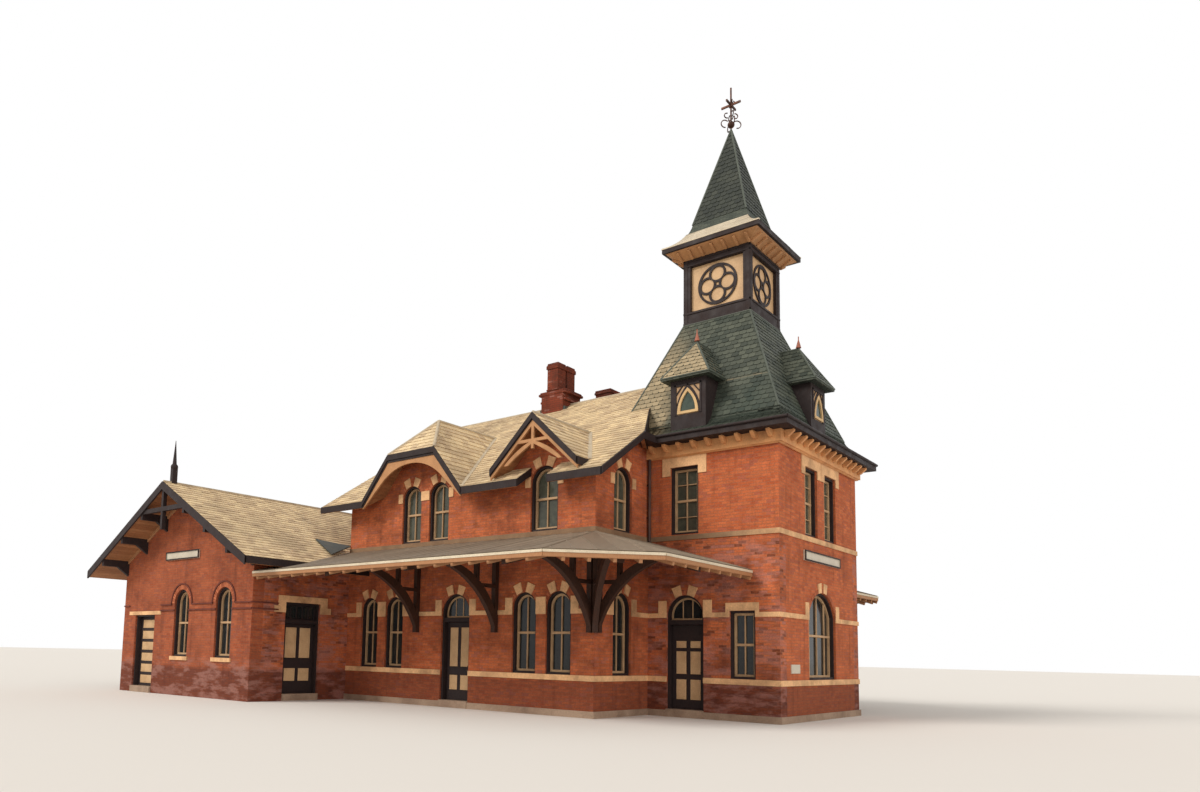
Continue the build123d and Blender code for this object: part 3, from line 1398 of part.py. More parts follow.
with BuildPart() as spire_finial:
    with Locations((tower_x, 0, SPIRE_TOP - 250)):
        Cylinder(26, FINIAL_TOP - SPIRE_TOP + 250, align=(Align.CENTER, Align.CENTER, Align.MIN))
    with Locations((tower_x, 0, SPIRE_TOP + 160)):
        Sphere(105)
    with Locations((tower_x, 0, SPIRE_TOP + 800)):
        Box(44, 620, 60)
        Box(620, 44, 60)
        Cylinder(60, 150)
    add(spire.part, mode=Mode.SUBTRACT)

# Signs, left bare, and the downpipes in the tower's corners
with BuildPart() as signboards:
    half, low, high = FRONT_SIGN
    block(front_x, front_x + SIGN_THICK, -half, half, low, high)
    block(front_x + SIGN_THICK - SIGN_SUNK, front_x + SIGN_THICK, SIGN_RIM - half, half - SIGN_RIM,
          low + SIGN_RIM, high - SIGN_RIM, Mode.SUBTRACT)
    left, right, low, high = PLATE
    block(front_x, front_x + SIGN_SUNK, left, right, low, high)
    half, low, high = WING_SIGN
    middle = wing_x + WING_SIGN_SHIFT
    block(middle - half, middle + half, -wing_y - SIGN_THICK, -wing_y, low, high)
    block(middle - half + SIGN_RIM, middle + half - SIGN_RIM, -wing_y - SIGN_THICK,
          -wing_y - SIGN_THICK + SIGN_SUNK, low + SIGN_RIM, high - SIGN_RIM, Mode.SUBTRACT)

pipe_low = CANOPY_WALL + 20
with BuildPart() as downpipes:
    with Locations((main_x1 + PIPE_OUT, -tower_y - PIPE_OUT, pipe_low)):
        Cylinder(PIPE, CORNICE_BOTTOM - pipe_low, align=(Align.CENTER, Align.CENTER, Align.MIN))
    for height in (pipe_low + PIPE_CLIP_IN, CORNICE_BOTTOM - PIPE_CLIP_IN):
        block(main_x1, main_x1 + PIPE_OUT, -tower_y - PIPE_OUT - 15, -tower_y - PIPE_OUT + 15,
              height - PIPE_CLIP, height)
    mirrored()

# The four pieces of wall over the opening doorways share one file
with BuildPart() as walls_over_doors:
    add(main_track_wall_over_door.part)
    add(tower_wall_over_door.part)
    add(wing_gable_over_door.part)
    add(wing_side_over_door.part)

os.makedirs("parts", exist_ok=True)
main_track_wall_lower.part.label = "main_track_wall_lower"
export_step(main_track_wall_lower.part, "parts/main_track_wall_lower.step")
main_track_wall_upper.part.label = "main_track_wall_upper"
export_step(main_track_wall_upper.part, "parts/main_track_wall_upper.step")
main_far_wall.part.label = "main_far_wall"
export_step(main_far_wall.part, "parts/main_far_wall.step")
shoulder_walls.part.label = "shoulder_walls"
export_step(shoulder_walls.part, "parts/shoulder_walls.step")
main_end_wall.part.label = "main_end_wall"
export_step(main_end_wall.part, "parts/main_end_wall.step")
tower_track_wall.part.label = "tower_track_wall"
export_step(tower_track_wall.part, "parts/tower_track_wall.step")
tower_far_wall.part.label = "tower_far_wall"
export_step(tower_far_wall.part, "parts/tower_far_wall.step")
tower_front_wall.part.label = "tower_front_wall"
export_step(tower_front_wall.part, "parts/tower_front_wall.step")
wing_track_gable.part.label = "wing_track_gable"
export_step(wing_track_gable.part, "parts/wing_track_gable.step")
wing_far_gable.part.label = "wing_far_gable"
export_step(wing_far_gable.part, "parts/wing_far_gable.step")
wing_side_wall.part.label = "wing_side_wall"
export_step(wing_side_wall.part, "parts/wing_side_wall.step")
wing_far_side_wall.part.label = "wing_far_side_wall"
export_step(wing_far_side_wall.part, "parts/wing_far_side_wall.step")
wing_back_wall.part.label = "wing_back_wall"
export_step(wing_back_wall.part, "parts/wing_back_wall.step")
walls_over_doors.part.label = "walls_over_doors"
export_step(walls_over_doors.part, "parts/walls_over_doors.step")
ground_floor.part.label = "ground_floor"
export_step(ground_floor.part, "parts/ground_floor.step")
upper_floor.part.label = "upper_floor"
export_step(upper_floor.part, "parts/upper_floor.step")
door_sills.part.label = "door_sills"
export_step(door_sills.part, "parts/door_sills.step")
stone_plinth.part.label = "stone_plinth"
export_step(stone_plinth.part, "parts/stone_plinth.step")
stone_courses.part.label = "stone_courses"
export_step(stone_courses.part, "parts/stone_courses.step")
stone_dressings.part.label = "stone_dressings"
export_step(stone_dressings.part, "parts/stone_dressings.step")
window_frames_lower.part.label = "window_frames_lower"
export_step(window_frames_lower.part, "parts/window_frames_lower.step")
window_frames_upper.part.label = "window_frames_upper"
export_step(window_frames_upper.part, "parts/window_frames_upper.step")
window_sashes_lower.part.label = "window_sashes_lower"
export_step(window_sashes_lower.part, "parts/window_sashes_lower.step")
window_sashes_upper.part.label = "window_sashes_upper"
export_step(window_sashes_upper.part, "parts/window_sashes_upper.step")
window_glass_lower.part.label = "window_glass_lower"
export_step(window_glass_lower.part, "parts/window_glass_lower.step")
window_glass_upper.part.label = "window_glass_upper"
export_step(window_glass_upper.part, "parts/window_glass_upper.step")
door_frames.part.label = "door_frames"
export_step(door_frames.part, "parts/door_frames.step")
fanlight_glass.part.label = "fanlight_glass"
export_step(fanlight_glass.part, "parts/fanlight_glass.step")
hall_door.part.label = "hall_door"
export_step(hall_door.part, "parts/hall_door.step")
tower_door.part.label = "tower_door"
export_step(tower_door.part, "parts/tower_door.step")
wing_side_door.part.label = "wing_side_door"
export_step(wing_side_door.part, "parts/wing_side_door.step")
wing_gable_door.part.label = "wing_gable_door"
export_step(wing_gable_door.part, "parts/wing_gable_door.step")
far_door_frames.part.label = "far_door_frames"
export_step(far_door_frames.part, "parts/far_door_frames.step")
far_side_doors.part.label = "far_side_doors"
export_step(far_side_doors.part, "parts/far_side_doors.step")
chimneys.part.label = "chimneys"
export_step(chimneys.part, "parts/chimneys.step")
main_roof.part.label = "main_roof"
export_step(main_roof.part, "parts/main_roof.step")
wall_gable_roofs.part.label = "wall_gable_roofs"
export_step(wall_gable_roofs.part, "parts/wall_gable_roofs.step")
dormer_roofs.part.label = "dormer_roofs"
export_step(dormer_roofs.part, "parts/dormer_roofs.step")
wing_roof.part.label = "wing_roof"
export_step(wing_roof.part, "parts/wing_roof.step")
bargeboards.part.label = "bargeboards"
export_step(bargeboards.part, "parts/bargeboards.step")
gable_work.part.label = "gable_work"
export_step(gable_work.part, "parts/gable_work.step")
wing_bargeboards.part.label = "wing_bargeboards"
export_step(wing_bargeboards.part, "parts/wing_bargeboards.step")
wing_finials.part.label = "wing_finials"
export_step(wing_finials.part, "parts/wing_finials.step")
canopy_roofs.part.label = "canopy_roofs"
export_step(canopy_roofs.part, "parts/canopy_roofs.step")
canopy_brackets.part.label = "canopy_brackets"
export_step(canopy_brackets.part, "parts/canopy_brackets.step")
tower_cornice.part.label = "tower_cornice"
export_step(tower_cornice.part, "parts/tower_cornice.step")
tower_eave.part.label = "tower_eave"
export_step(tower_eave.part, "parts/tower_eave.step")
tower_mansard.part.label = "tower_mansard"
export_step(tower_mansard.part, "parts/tower_mansard.step")
mansard_dormers.part.label = "mansard_dormers"
export_step(mansard_dormers.part, "parts/mansard_dormers.step")
mansard_dormer_roofs.part.label = "mansard_dormer_roofs"
export_step(mansard_dormer_roofs.part, "parts/mansard_dormer_roofs.step")
mansard_dormer_windows.part.label = "mansard_dormer_windows"
export_step(mansard_dormer_windows.part, "parts/mansard_dormer_windows.step")
cupola_frame.part.label = "cupola_frame"
export_step(cupola_frame.part, "parts/cupola_frame.step")
cupola_panels.part.label = "cupola_panels"
export_step(cupola_panels.part, "parts/cupola_panels.step")
cupola_tracery.part.label = "cupola_tracery"
export_step(cupola_tracery.part, "parts/cupola_tracery.step")
spire_soffit.part.label = "spire_soffit"
export_step(spire_soffit.part, "parts/spire_soffit.step")
spire_eave.part.label = "spire_eave"
export_step(spire_eave.part, "parts/spire_eave.step")
spire.part.label = "spire"
export_step(spire.part, "parts/spire.step")
spire_finial.part.label = "spire_finial"
export_step(spire_finial.part, "parts/spire_finial.step")
signboards.part.label = "signboards"
export_step(signboards.part, "parts/signboards.step")
downpipes.part.label = "downpipes"
export_step(downpipes.part, "parts/downpipes.step")
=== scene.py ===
import bpy
from contextlib import contextmanager
from math import atan2, cos, pi, radians, sin
from random import Random
from mathutils import Matrix, Vector


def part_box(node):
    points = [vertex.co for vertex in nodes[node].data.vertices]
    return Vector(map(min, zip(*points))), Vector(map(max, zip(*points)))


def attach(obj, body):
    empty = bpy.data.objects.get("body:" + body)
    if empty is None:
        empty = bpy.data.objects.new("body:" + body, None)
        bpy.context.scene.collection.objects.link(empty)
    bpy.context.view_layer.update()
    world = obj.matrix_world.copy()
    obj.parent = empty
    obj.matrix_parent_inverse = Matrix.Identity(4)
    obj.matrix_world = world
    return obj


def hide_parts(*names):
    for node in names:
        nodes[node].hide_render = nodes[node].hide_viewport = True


bl_info = {
    "name": "Railway station building",
    "version": (1, 0, 0),
    "blender": (4, 5, 0),
    "location": "View3D > Sidebar > Station",
    "description": "Dresses the packed station building: slates, stone, timber, windows and doors",
    "category": "Object",
}

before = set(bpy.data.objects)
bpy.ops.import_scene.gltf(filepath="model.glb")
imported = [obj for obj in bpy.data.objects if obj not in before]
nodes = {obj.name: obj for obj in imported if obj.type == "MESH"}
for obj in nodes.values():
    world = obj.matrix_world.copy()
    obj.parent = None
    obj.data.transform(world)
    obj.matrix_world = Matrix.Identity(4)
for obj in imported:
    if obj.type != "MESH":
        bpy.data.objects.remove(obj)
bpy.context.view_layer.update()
HOME = "building"


# Node helpers ---------------------------------------------------------------------------------

class Signal:
    """What a node puts out. Arithmetic on it adds Math nodes to its tree."""

    def __init__(self, tree, socket):
        self.tree, self.socket = tree, socket

    def __add__(self, other):
        return maths("ADD", self, other)

    def __sub__(self, other):
        return maths("SUBTRACT", self, other)

    def __rsub__(self, other):
        return maths("SUBTRACT", other, self)

    def __mul__(self, other):
        return maths("MULTIPLY", self, other)

    def __truediv__(self, other):
        return maths("DIVIDE", self, other)

    def band(self, low, high, first=0.0, second=1.0):
        """Maps the signal between two limits to another range, clamped."""
        return add_node(self.tree, "ShaderNodeMapRange", {"clamp": True}, Value=self, From_Min=low,
                        From_Max=high, To_Min=first, To_Max=second)[0]


def plug(socket, value):
    """Sets an input to a number or a colour, or links it to a signal."""
    if isinstance(value, Signal):
        value.tree.links.new(value.socket, socket)
    elif value is not None:
        socket.default_value = value


def tree_of(*values):
    return next(value.tree for value in values if isinstance(value, Signal))


def add_node(tree, kind, settings=None, **values):
    """Adds a node with its settings and its inputs, given by name, and returns its outputs."""
    made = tree.nodes.new(kind)
    for key, value in (settings or {}).items():
        setattr(made, key, value)
    for key, value in values.items():
        plug(made.inputs[key.replace("_", " ")], value)
    return [Signal(tree, socket) for socket in made.outputs]


def maths(operation, *values, clamp=False):
    tree = tree_of(*values)
    made = tree.nodes.new("ShaderNodeMath")
    made.operation, made.use_clamp = operation, clamp
    for socket, value in zip(made.inputs, values):
        plug(socket, value)
    return Signal(tree, made.outputs[0])


def mix(factor, first, second, blend="MIX"):
    """Mixes two colours by a factor."""
    tree = tree_of(factor, first, second)
    made = tree.nodes.new("ShaderNodeMix")
    made.data_type, made.blend_type = "RGBA", blend
    for index, value in ((0, factor), (6, first), (7, second)):
        plug(made.inputs[index], value)
    return Signal(tree, made.outputs[2])


def noise(place, scale, detail=3.0, roughness=0.55):
    return add_node(place.tree, "ShaderNodeTexNoise", Vector=place, Scale=scale, Detail=detail,
                    Roughness=roughness)[0]


def grained(colour, grain, share, dark, light):
    """Darkens and lightens a colour by its grain."""
    return mix(share, colour, mix(grain.band(0.3, 0.7), (dark, dark, dark, 1), (light, light, light, 1)),
               "MULTIPLY")


def coordinates(tree, kind="Object"):
    made = tree.nodes.new("ShaderNodeTexCoord")
    return Signal(tree, made.outputs[kind])


def parts_of(vector):
    """The three parts of a place or a direction."""
    return add_node(vector.tree, "ShaderNodeSeparateXYZ", Vector=vector)


def stretched(place, *scale):
    return add_node(place.tree, "ShaderNodeMapping", Vector=place, Scale=scale)[0]


def new_group(name, inputs):
    """A shader node group with named inputs, and what they bring as a dictionary."""
    group = bpy.data.node_groups.new(name, "ShaderNodeTree")
    for label, default in inputs.items():
        kind = COLOUR if isinstance(default, tuple) else NUMBER
        group.interface.new_socket(label, in_out="INPUT", socket_type=kind).default_value = default
    entry = group.nodes.new("NodeGroupInput")
    return group, {socket.name: Signal(group, socket) for socket in entry.outputs if socket.name}


def close_group(group, **results):
    for label in results:
        kind = COLOUR if label == "Color" else NUMBER
        group.interface.new_socket(label, in_out="OUTPUT", socket_type=kind)
    ending = group.nodes.new("NodeGroupOutput")
    for label, signal in results.items():
        plug(ending.inputs[label], signal)
    return group


# Patterns that the finishes share ---------------------------------------------------------------

COLOUR, NUMBER = "NodeSocketColor", "NodeSocketFloat"
BRICK_LONG, BRICK_ROW, JOINT = 0.215, 0.075, 0.006


def face_position(tree):
    """The place on a wall or a slope, along it and up it, the plain object position and the height."""
    place = coordinates(tree)
    x, y, z = parts_of(place)
    facing = parts_of(coordinates(tree, "Normal"))
    turned = maths("GREATER_THAN", maths("ABSOLUTE", facing[0]), maths("ABSOLUTE", facing[1]))
    along = turned * y + (1.0 - turned) * x
    lean = maths("SQRT", maths("MAXIMUM", 1.0 - maths("POWER", facing[2], 2.0), 0.04))
    return add_node(tree, "ShaderNodeCombineXYZ", X=along, Y=z / lean, Z=0.0)[0], place, z


def make_brickwork():
    """Laid brick: every brick its own tone, some burnt, with soot, streaks and white bloom over them."""
    group, given = new_group("Brickwork", {
        "Brick": (0.42, 0.13, 0.055, 1), "Pale brick": (0.55, 0.2, 0.1, 1), "Mortar": (0.42, 0.24, 0.15, 1),
        "Soot": (0.09, 0.028, 0.022, 1), "Bloom": (0.5, 0.27, 0.23, 1), "Damp height": 0.9, "Damp": 0.6,
        "Soiling": 0.5, "Soiled below": 100.0, "Mottling": 0.5, "Blooming": 0.0, "Bloom height": 1.1})
    soot, bloom, dirt_top, damp_top = (given[key] for key in ("Soot", "Bloom", "Soiled below", "Damp height"))
    flat, place, height = face_position(group)
    mortar = add_node(group, "ShaderNodeTexBrick", {"offset": 0.5}, Vector=flat, Scale=1.0, Mortar_Size=JOINT,
                      Mortar_Smooth=0.15, Brick_Width=BRICK_LONG, Row_Height=BRICK_ROW)[1]
    along, up, _ = parts_of(flat)
    row = maths("FLOOR", up / BRICK_ROW)
    even = 1.0 - maths("FLOORED_MODULO", row, 2.0)
    column = maths("FLOOR", (along + even * (BRICK_LONG / 2)) / BRICK_LONG)
    cell = add_node(group, "ShaderNodeCombineXYZ", X=column, Y=row, Z=0.0)[0]
    chance = add_node(group, "ShaderNodeTexWhiteNoise", {"noise_dimensions": "2D"}, Vector=cell)[0]
    patches, grit = noise(place, 1.3, 4.0), noise(place, 34.0, 2.0)
    smears = noise(stretched(place, 1.0, 1.0, 3.2), 1.5, 5.0, 0.62)
    streaks = noise(stretched(place, 5.0, 5.0, 0.6), 1.0)
    tone = mix(chance.band(0.1, 0.95), given["Brick"], given["Pale brick"])
    tone = mix(noise(place, 0.32).band(0.38, 0.68, 0.0, 0.45), tone, given["Pale brick"])
    clustered = chance + (smears - 0.5) * 1.1
    above = height.band(dirt_top + 0.2, dirt_top - 0.2)
    mottled = given["Mottling"] * above.band(0.0, 1.0, 0.35, 1.0)
    tone = mix(clustered.band(0.7, 0.9, 0.0, 0.8) * mottled, tone, soot)
    tone = mix(clustered.band(0.16, 0.04, 0.0, 0.6) * mottled, tone, bloom)
    tone = mix(mortar, tone, given["Mortar"])
    tone = mix(streaks.band(0.52, 0.72, 0.0, 0.3), tone, soot)
    sooty = patches.band(0.44, 0.68) * above * given["Soiling"]
    damp = given["Damp"] * (height + patches * 0.35).band(damp_top + 0.12, damp_top + 0.3, 1.0, 0.0)
    tone = mix(maths("MAXIMUM", sooty, damp), tone, soot)
    white = smears.band(0.47, 0.6) * given["Blooming"]
    under = height.band(given["Bloom height"], given["Bloom height"] - 0.25)
    tone = grained(mix(white * under, tone, bloom), grit, 0.5, 0.6, 1.3)
    return close_group(group, Color=tone, Height=mortar * -1.0 + (grit * 0.35 + chance * 0.3),
                       Roughness=grit.band(0.2, 0.8, 0.82, 0.97))


def make_slating():
    """Square slates in courses, each a little different, with lichen and streaks."""
    group, given = new_group("Slating", {
        "Slate": (0.45, 0.36, 0.25, 1), "Pale slate": (0.6, 0.5, 0.33, 1), "Gap": (0.1, 0.08, 0.06, 1),
        "Streaks": (0.2, 0.17, 0.12, 1), "Width": 0.26, "Course": 0.19})
    flat, place, _ = face_position(group)
    slates, gaps = add_node(
        group, "ShaderNodeTexBrick", {"offset": 0.5}, Vector=flat, Scale=1.0, Mortar_Size=JOINT,
        Mortar_Smooth=0.1, Brick_Width=given["Width"], Row_Height=given["Course"], Color1=given["Slate"],
        Color2=given["Pale slate"], Mortar=given["Gap"])
    fine = noise(place, 14.0)
    tone = mix(noise(place, 0.5, 4.0).band(0.48, 0.75, 0.0, 0.6), slates, given["Streaks"])
    return close_group(group, Color=grained(tone, fine, 0.6, 0.72, 1.25), Height=gaps * -1.0 + fine * 0.4,
                       Roughness=fine.band(0.2, 0.8, 0.55, 0.8))


def make_weathering():
    """Uneven colour with dark stains and a fine grain, for stone, plaster and paint."""
    group, given = new_group("Weathering", {"Base": (0.5, 0.35, 0.2, 1), "Stain": (0.2, 0.12, 0.07, 1),
                                            "Scale": 2.0, "Amount": 0.5, "Grain": 40.0})
    place = coordinates(group)
    cloud, grain = noise(place, given["Scale"], 5.0, 0.6), noise(place, given["Grain"], 3.0, 0.6)
    tone = mix(cloud.band(0.42, 0.72) * given["Amount"], given["Base"], given["Stain"])
    return close_group(group, Color=grained(tone, grain, 0.5, 0.7, 1.25), Height=cloud * 0.4 + grain,
                       Roughness=grain.band(0.2, 0.8, -0.1, 0.12))


def make_timber_grain():
    """Sawn timber: streaks that are long in the two level directions and short up and down."""
    group, given = new_group("Timber grain", {"Base": (0.03, 0.018, 0.013, 1), "Light": (0.1, 0.05, 0.025, 1),
                                              "Amount": 0.6})
    place = coordinates(group)
    fibres, wear_and_sunlight = noise(stretched(place, 6.0, 6.0, 1.2), 9.0, 5.0, 0.65), noise(place, 3.5, 4.0)
    tone = mix(fibres.band(0.4, 0.75) * given["Amount"], given["Base"], given["Light"])
    tone = mix(wear_and_sunlight.band(0.5, 0.8, 0.0, 0.35), tone, given["Light"])
    return close_group(group, Color=tone, Height=fibres, Roughness=wear_and_sunlight.band(0.3, 0.7, 0.5, 0.78))


def make_laid():
    """Colour for laid pieces, mixed by each one's own tone, with stains and grain over all."""
    group, given = new_group("Laid pieces", {
        "Dark": (0.3, 0.24, 0.16, 1), "Light": (0.6, 0.5, 0.33, 1), "Stain": (0.2, 0.17, 0.12, 1), "Grain": 18.0})
    tone = add_node(group, "ShaderNodeAttribute", {"attribute_name": "tone"})[2]
    place = coordinates(group)
    grain = noise(place, given["Grain"], 3.0, 0.6)
    colour = mix(tone, given["Dark"], given["Light"])
    colour = mix(noise(place, 0.45, 4.0).band(0.47, 0.72, 0.0, 0.6), colour, given["Stain"])
    return close_group(group, Color=grained(colour, grain, 0.6, 0.72, 1.25), Height=grain,
                       Roughness=grain.band(0.2, 0.8, -0.08, 0.1), Tone=tone)


MAKERS = {"Brickwork": make_brickwork, "Slating": make_slating, "Weathering": make_weathering,
          "Timber grain": make_timber_grain, "Laid pieces": make_laid}
groups = {}


def blank(name, specular):
    """A new material, its tree and its shader's inputs."""
    material = bpy.data.materials.new(name)
    material.use_nodes = True
    inputs = material.node_tree.nodes["Principled BSDF"].inputs
    inputs["Specular IOR Level"].default_value = specular
    return material, material.node_tree, inputs


def finish_from(name, group, bump, depth, roughness=None, **values):
    """A material whose colour, relief and roughness come from one of the groups."""
    material, tree, inputs = blank(name, 0.25)
    if group not in groups:
        groups[group] = MAKERS[group]()
    colour, relief, rough = add_node(tree, "ShaderNodeGroup", {"node_tree": groups[group]}, **values)[:3]
    plug(inputs["Base Color"], colour)
    plug(inputs["Normal"], add_node(tree, "ShaderNodeBump", Strength=bump, Distance=depth, Height=relief)[0])
    plug(inputs["Roughness"], rough if roughness is None else maths("ADD", rough, roughness, clamp=True))
    return material


def base_of(material):
    """The colour input of a material, the node that feeds it and what it puts out."""
    socket = material.node_tree.nodes["Principled BSDF"].inputs["Base Color"]
    source = socket.links[0].from_node
    return socket, source, [Signal(material.node_tree, each) for each in source.outputs]


def paint_course_shade(material, dark):
    """Paints shade on the upper stone course, darker from the tower's corner to the main block."""
    socket, _, given = base_of(material)
    place = coordinates(material.node_tree)
    x, _, z = parts_of(place)
    reach = x + (noise(place, 1.4, 4.0) - 0.5) * 1.6
    level = z.band(4.55, 4.6) * z.band(4.85, 4.8)
    plug(socket, mix(reach.band(8.8, 6.8, 0.0, 0.78) * level, given[0], dark))


def match_doorways(material, plain, gable_tones):
    """Gives the wall over each doorway the brick of the wall around it, by its place along the building."""
    _, source, _ = base_of(material)
    x = parts_of(coordinates(material.node_tree))[0]
    gable = x.band(-8.95, -9.05)
    main = x.band(-2.55, -2.45) * x.band(2.55, 2.45)
    for key, mottled, even, pale in (("Soiling", 0.62, 0.5, 0.35), ("Soiled below", 4.65, 100.0, 100.0),
                                     ("Mottling", 0.95, 0.5, 0.3), ("Blooming", 0.45, 0.0, 0.6),
                                     ("Bloom height", 4.6, 1.1, 1.25)):
        plug(source.inputs[key], gable.band(0.0, 1.0, main.band(0.0, 1.0, mottled, even), pale))
    for key, tone in gable_tones.items():
        plug(source.inputs[key.replace("_", " ")], mix(gable, plain[key], tone))


def paint_sunlight(material, pale, edge):
    """Paints sunlight on the mansard's slates on the track side, paler from the main roof to an edge, and on its
    dormer's slopes there that face away from the tower's front.
    """
    socket, _, given = base_of(material)
    place = coordinates(material.node_tree)
    x, y, z = parts_of(place)
    reach = x + noise(place, 2.2, 4.0) * 0.9
    fade = reach.band(edge, edge - 0.5, 0.0, 0.8) * y.band(-1.0, -1.6)
    facing = parts_of(coordinates(material.node_tree, "Normal"))[0]
    hood = y.band(-1.93, -1.96) * facing.band(0.3, 0.2) * z.band(9.0, 9.05, 0.0, 0.85)
    # Painted sunlight: each slate's own tone, between the pale colour and a darker share of it.
    wear_and_sunlight = mix(given[3], pale, tuple(0.62 * part for part in pale[:3]) + (1,))
    plug(socket, mix(maths("MAXIMUM", fade, hood), given[0], wear_and_sunlight))


def make_glass(name, colour, clear):
    """Old window glass: dark, slightly wavy and glossy, a little of the room behind it showing."""
    material, tree, inputs = blank(name, 0.3)
    place = coordinates(tree)
    wavy, dusty = noise(place, 2.4, 2.0), noise(place, 7.0, 4.0)
    dust = (colour[0] * 2.2, colour[1] * 2.1, colour[2] * 1.9, 1)
    for key, value in (("Base Color", mix(dusty.band(0.4, 0.8, 0.0, 0.5), (*colour, 1), dust)),
                       ("Normal", add_node(tree, "ShaderNodeBump", Strength=0.12, Distance=0.02, Height=wavy)[0]),
                       ("Roughness", dusty.band(0.3, 0.8, 0.04, 0.2)), ("Transmission Weight", clear),
                       ("IOR", 1.45)):
        plug(inputs[key], value)
    return material


# Sizes and colours that a user may change ------------------------------------------------------

def tint(name, about, *value):
    return bpy.props.FloatVectorProperty(name=name, description=about, default=(*value, 1), size=4,
                                         subtype="COLOR", min=0.0, max=1.0)


class StationColours(bpy.types.PropertyGroup):
    brick: tint("Brick", "Main colour of the brick walls", 0.4, 0.09, 0.034)
    pale_brick: tint("Pale brick", "Colour of the lighter bricks", 0.63, 0.175, 0.066)
    soot: tint("Soot", "Darkened brick near the ground and in patches", 0.07, 0.017, 0.012)
    mortar: tint("Mortar", "Joints between the bricks", 0.36, 0.14, 0.075)
    bloom: tint("Bloom", "White salts on the brick", 0.42, 0.2, 0.17)
    stone: tint("Stone", "Courses, springers and lintels", 0.82, 0.5, 0.26)
    slate: tint("Slate", "Slates of the main roofs", 0.52, 0.39, 0.25)
    pale_slate: tint("Pale slate", "Lighter slates of the main roofs", 0.8, 0.64, 0.4)
    green_slate: tint("Green slate", "Slates of the tower's roofs", 0.035, 0.044, 0.035)
    pale_green_slate: tint("Pale green slate", "Lighter slates of the tower's roofs", 0.092, 0.104, 0.08)
    dark_paint: tint("Dark paint", "Door frames, eaves and the lantern's posts", 0.017, 0.011, 0.012)
    tan_paint: tint("Tan paint", "Window sashes and gable boards", 0.52, 0.34, 0.19)
    cream_paint: tint("Cream paint", "Door panels and the lantern's panels", 0.6, 0.4, 0.22)
    timber: tint("Timber", "Canopy brackets", 0.035, 0.016, 0.011)
    metal: tint("Canopy metal", "Seamed sheets of the canopy roofs", 0.25, 0.2, 0.15)


class StationSizes(bpy.types.PropertyGroup):
    lens: bpy.props.FloatProperty(name="Lens", description="Focal length of the camera, in millimetres",
                                  default=25.72, min=5.0, unit="CAMERA")
    floor_reach: bpy.props.FloatProperty(name="Floor", description="Half the width of the pale floor",
                                         default=300.0, unit="LENGTH")


# Finishes ----------------------------------------------------------------------------------------

